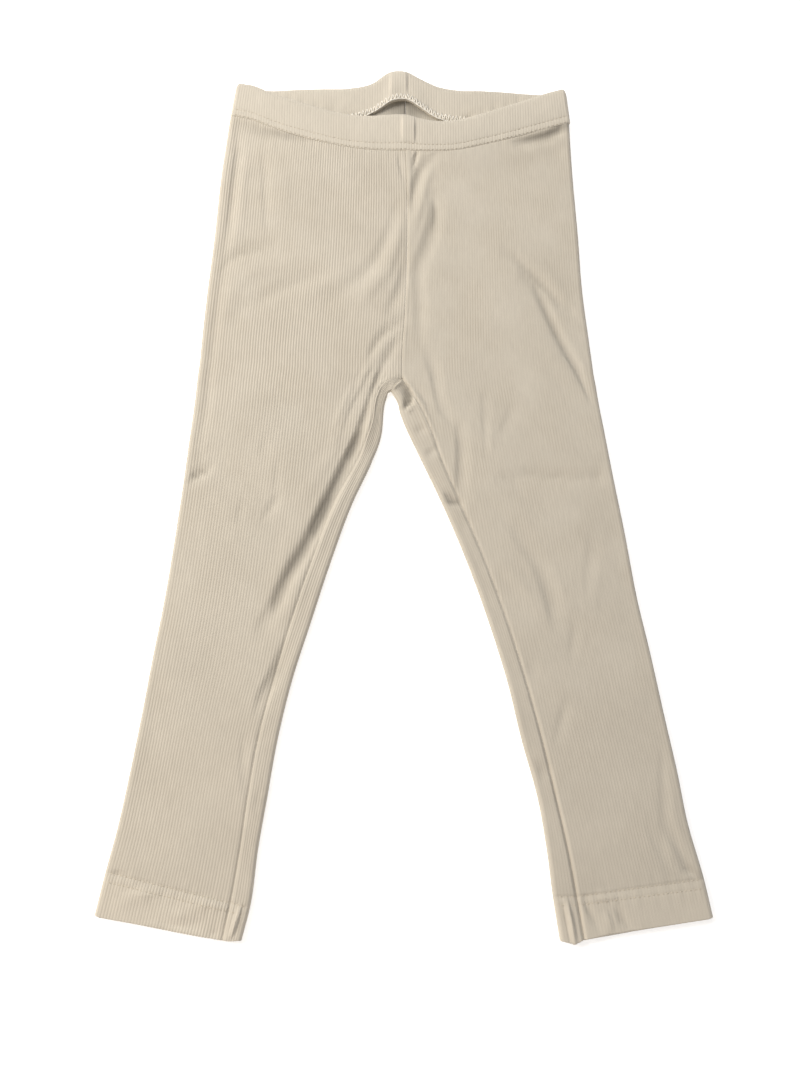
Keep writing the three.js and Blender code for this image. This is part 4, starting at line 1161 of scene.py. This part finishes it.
def ribKnit(name, look):
    material = emptyMaterial(name)
    flat = addNode(material, "UVMap", {"uv_map": "clothMap"})
    parts = addNode(material, "SeparateXYZ", links={0: flat.outputs[0]})
    place = addNode(material, "TexCoord")
    heights = addNode(material, "SeparateXYZ", links={0: place.outputs["Object"]})

    # one rib is 1.8 mm wide, so the map's 100 mm hold 55.6 of them
    ribPhase = addNode(
        material, "Math", {"operation": "MULTIPLY"}, {1: math.pi * 100 / cloth["ribPitch"]},
        {0: parts.outputs["X"]})
    ribWave = addNode(material, "Math", {"operation": "SINE"}, links={0: ribPhase.outputs[0]})
    rib = addNode(material, "Math", {"operation": "ABSOLUTE"}, links={0: ribWave.outputs[0]})
    crest = addNode(material, "Math", {"operation": "POWER"}, {1: 0.7}, {0: rib.outputs[0]})
    # knit courses as small chevrons that point down the rib
    slant = addNode(material, "Math", {"operation": "MULTIPLY"}, {1: 1.9}, {0: rib.outputs[0]})
    coursePhase = addNode(
        material, "Math", {"operation": "MULTIPLY_ADD"}, {1: math.pi * 100 / look["courseMm"]},
        {0: parts.outputs["Y"], 2: slant.outputs[0]})
    courseWave = addNode(material, "Math", {"operation": "SINE"}, links={0: coursePhase.outputs[0]})
    course = addNode(material, "Math", {"operation": "ABSOLUTE"}, links={0: courseWave.outputs[0]})

    # noise for patches, for where the valleys' painted shade shows, for the fuzz, and along the ribs for
    # streaks, where each rib is a little lighter or darker over a centimetre or so
    alongRibs = addNode(
        material, "VectorMath", {"operation": "MULTIPLY"}, {1: (100 / cloth["ribPitch"], 9.0, 1.0)},
        {0: flat.outputs[0]})
    patches, valleyShadePatches, fuzz, streaks = [
        addNode(
            material, "TexNoise", values={"Scale": scale, "Detail": detail, "Roughness": rough},
            links={"Vector": source})
        for scale, detail, rough, source in (
            (28.0, 3.0, 0.55, place.outputs["Object"]), (34.0, 2.0, 0.5, place.outputs["Object"]),
            (1400.0, 2.0, 0.6, place.outputs["Object"]), (1.0, 3.0, 0.65, alongRibs.outputs[0]),
        )
    ]

    # painted shade in the valleys between the ribs, in patches, and less and less towards the ankles
    valleyShadeShare = addNode(
        material, "MapRange", values={1: 0.35, 2: 0.65, 3: 0.15, 4: look["ribsShow"]},
        links={0: valleyShadePatches.outputs["Fac"]})
    ankleFade = addNode(
        material, "MapRange", values={1: -0.26, 2: 0.12, 3: look["ankleRibs"], 4: 1.0},
        links={0: heights.outputs["Y"]})
    valleyShadeThere = addNode(
        material, "Math", {"operation": "MULTIPLY"}, links={0: valleyShadeShare.outputs[0], 1: ankleFade.outputs[0]})
    paintedValleyShade = addNode(material, "Math", {"operation": "SUBTRACT"}, {0: 1.0}, {1: crest.outputs[0]})
    valleyShows = addNode(
        material, "Math", {"operation": "MULTIPLY"}, links={0: paintedValleyShade.outputs[0], 1: valleyShadeThere.outputs[0]})
    colour = addNode(
        material, "Mix", {"data_type": "RGBA"}, {6: linear(look["rib"]), 7: linear(look["paintedValleyShade"])},
        {0: valleyShows.outputs[0]})

    # what makes the cloth lighter or darker: each source, its range, and the shades at its ends
    paintedShade = addNode(material, "Attribute", {"attribute_name": "paintedShade"})
    light = None
    for source, start, end, low, high in (
        (patches.outputs["Fac"], 0.3, 0.7, 1 - look["patchy"], 1.0),
        (course.outputs[0], 0.0, 1.0, 1 - look["courseShade"], 1.0),
        (streaks.outputs["Fac"], 0.3, 0.7, 1 - look["streaky"], 1.0),
        (parts.outputs["Y"], 0.2, 0.255, 1 + look["doubled"], 1.0),
        # the painted shade of the troughs and of the back under the waist's raised edge
        (paintedShade.outputs["Fac"], 0.0, 1.0, 1.0, 1 - look["paintedShade"]),
    ):
        shade = addNode(material, "MapRange", values={1: start, 2: end, 3: low, 4: high}, links={0: source})
        if light:
            shade = addNode(
                material, "Math", {"operation": "MULTIPLY"}, links={0: light.outputs[0], 1: shade.outputs[0]})
        light = shade
    shaded = addNode(
        material, "VectorMath", {"operation": "SCALE"}, links={0: colour.outputs[2], 3: light.outputs[0]})

    height = addNode(
        material, "Math", {"operation": "MULTIPLY_ADD"}, {1: 0.35},
        {0: course.outputs[0], 2: crest.outputs[0]})
    fuzzy = addNode(
        material, "Math", {"operation": "MULTIPLY_ADD"}, {1: 0.5},
        {0: fuzz.outputs["Fac"], 2: height.outputs[0]})
    relief = addNode(
        material, "Bump", values={"Strength": look["relief"], "Distance": look["reliefMm"] * mm},
        links={"Height": fuzzy.outputs[0]})
    shader = addNode(
        material, "BsdfPrincipled",
        values={
            "Roughness": look["roughness"], "Sheen Weight": look["sheen"], "Sheen Roughness": 0.45,
            "Specular IOR Level": 0.25, "IOR": 1.5,
        },
        links={"Base Color": shaded.outputs[0], "Normal": relief.outputs[0]},
    )
    addNode(material, "OutputMaterial", links={"Surface": shader.outputs[0]})
    return material


# Spun polyester sewing thread, a touch brighter and silkier than the cloth
threadLook = {"colour": "#dcd4c4", "shade": "#cabfab", "roughness": 0.55, "twistMm": 0.5}
# and the bulky one of the overlock, nearly white
loopLook = dict(threadLook, colour="#fffcf4", shade="#f2ebdd")


def sewingThread(name, look):
    material = emptyMaterial(name)
    place = addNode(material, "TexCoord")
    # two plies twisted at 0.5 mm
    plies = addNode(
        material, "TexWave", {"wave_type": "BANDS", "bands_direction": "DIAGONAL"},
        {"Scale": 1000 / look["twistMm"] / 3.2, "Distortion": 0.6}, {"Vector": place.outputs["Object"]})
    tone = addNode(
        material, "Mix", {"data_type": "RGBA"}, {6: linear(look["shade"]), 7: linear(look["colour"])},
        {0: plies.outputs["Fac"]})
    relief = addNode(
        material, "Bump", values={"Strength": 0.4, "Distance": 0.08 * mm},
        links={"Height": plies.outputs["Fac"]})
    shader = addNode(
        material, "BsdfPrincipled",
        values={"Roughness": look["roughness"], "Sheen Weight": 0.15, "Specular IOR Level": 0.4},
        links={"Base Color": tone.outputs[2], "Normal": relief.outputs[0]},
    )
    addNode(material, "OutputMaterial", links={"Surface": shader.outputs[0]})
    return material


jersey = ribKnit("ribKnitJersey", jerseyLook)
bandJersey = ribKnit("ribKnitBandJersey", bandLook)
polyesterThread = sewingThread("spunPolyesterThread", threadLook)
loopThread = sewingThread("bulkyOverlockThread", loopLook)

for made, material in (
    (legRight, jersey), (legLeft, jersey), (waistband, bandJersey), (hemThreadRight, polyesterThread),
    (hemThreadLeft, polyesterThread), (bandThread, polyesterThread), (overlockThread, loopThread),
):
    made.data.materials.append(material)
print("materials made")

for made, node, slotName in (
    (legRight, "leg_right", "jersey"), (legLeft, "leg_left", "jersey"), (waistband, "waistband", "band_jersey"),
):
    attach(made, "root")
    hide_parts(node)
for made, slotName in (
    (hemThreadRight, "jersey"), (hemThreadLeft, "jersey"), (bandThread, "band_jersey"),
    (overlockThread, "band_jersey"),
):
    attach(made, "root")

# Plain pale floor and soft studio light from the upper left
floorSetup = {"size": 6.0, "colour": "#ffffff", "glow": 0.5}
lights = {
    "key": {"place": (-1100, 420, 850), "size": 0.75, "power": 15.8, "colour": "#fffaf2"},
    "low": {"place": (-420, -780, 620), "size": 0.6, "power": 1.3, "colour": "#ffdcb0"},
    "fill": {"place": (-150, 900, 900), "size": 0.8, "power": 4.5, "colour": "#fffaf4"},
}
worldSetup = {"colour": "#f4f6fa", "strength": 0.34}

bpy.ops.mesh.primitive_plane_add(size=floorSetup["size"], location=(0, 0, -0.0002))
floor = bpy.context.object
floor.name = "floor"
floorPaint = emptyMaterial("mattWhitePaper")
floorShader = addNode(floorPaint, "BsdfPrincipled", values={
    "Base Color": linear(floorSetup["colour"]), "Roughness": 0.9, "Specular IOR Level": 0.1,
    "Emission Color": linear(floorSetup["colour"]), "Emission Strength": floorSetup["glow"],
})
addNode(floorPaint, "OutputMaterial", links={"Surface": floorShader.outputs[0]})
floor.data.materials.append(floorPaint)

for name, light in lights.items():
    bpy.ops.object.light_add(type="AREA")
    lamp = bpy.context.object
    lamp.name = name + "Light"
    lamp.data.shape = "DISK"
    lamp.data.size = light["size"]
    lamp.data.energy = light["power"]
    lamp.data.color = linear(light["colour"])[:3]
    aim(lamp, light["place"], (0, 0, 0))

world = bpy.data.worlds.new("paleStudio")
world.use_nodes = True
world.node_tree.nodes["Background"].inputs[0].default_value = linear(worldSetup["colour"])
world.node_tree.nodes["Background"].inputs[1].default_value = worldSetup["strength"]
bpy.context.scene.world = world
bpy.context.scene.view_settings.view_transform = "Standard"
print("studio made")
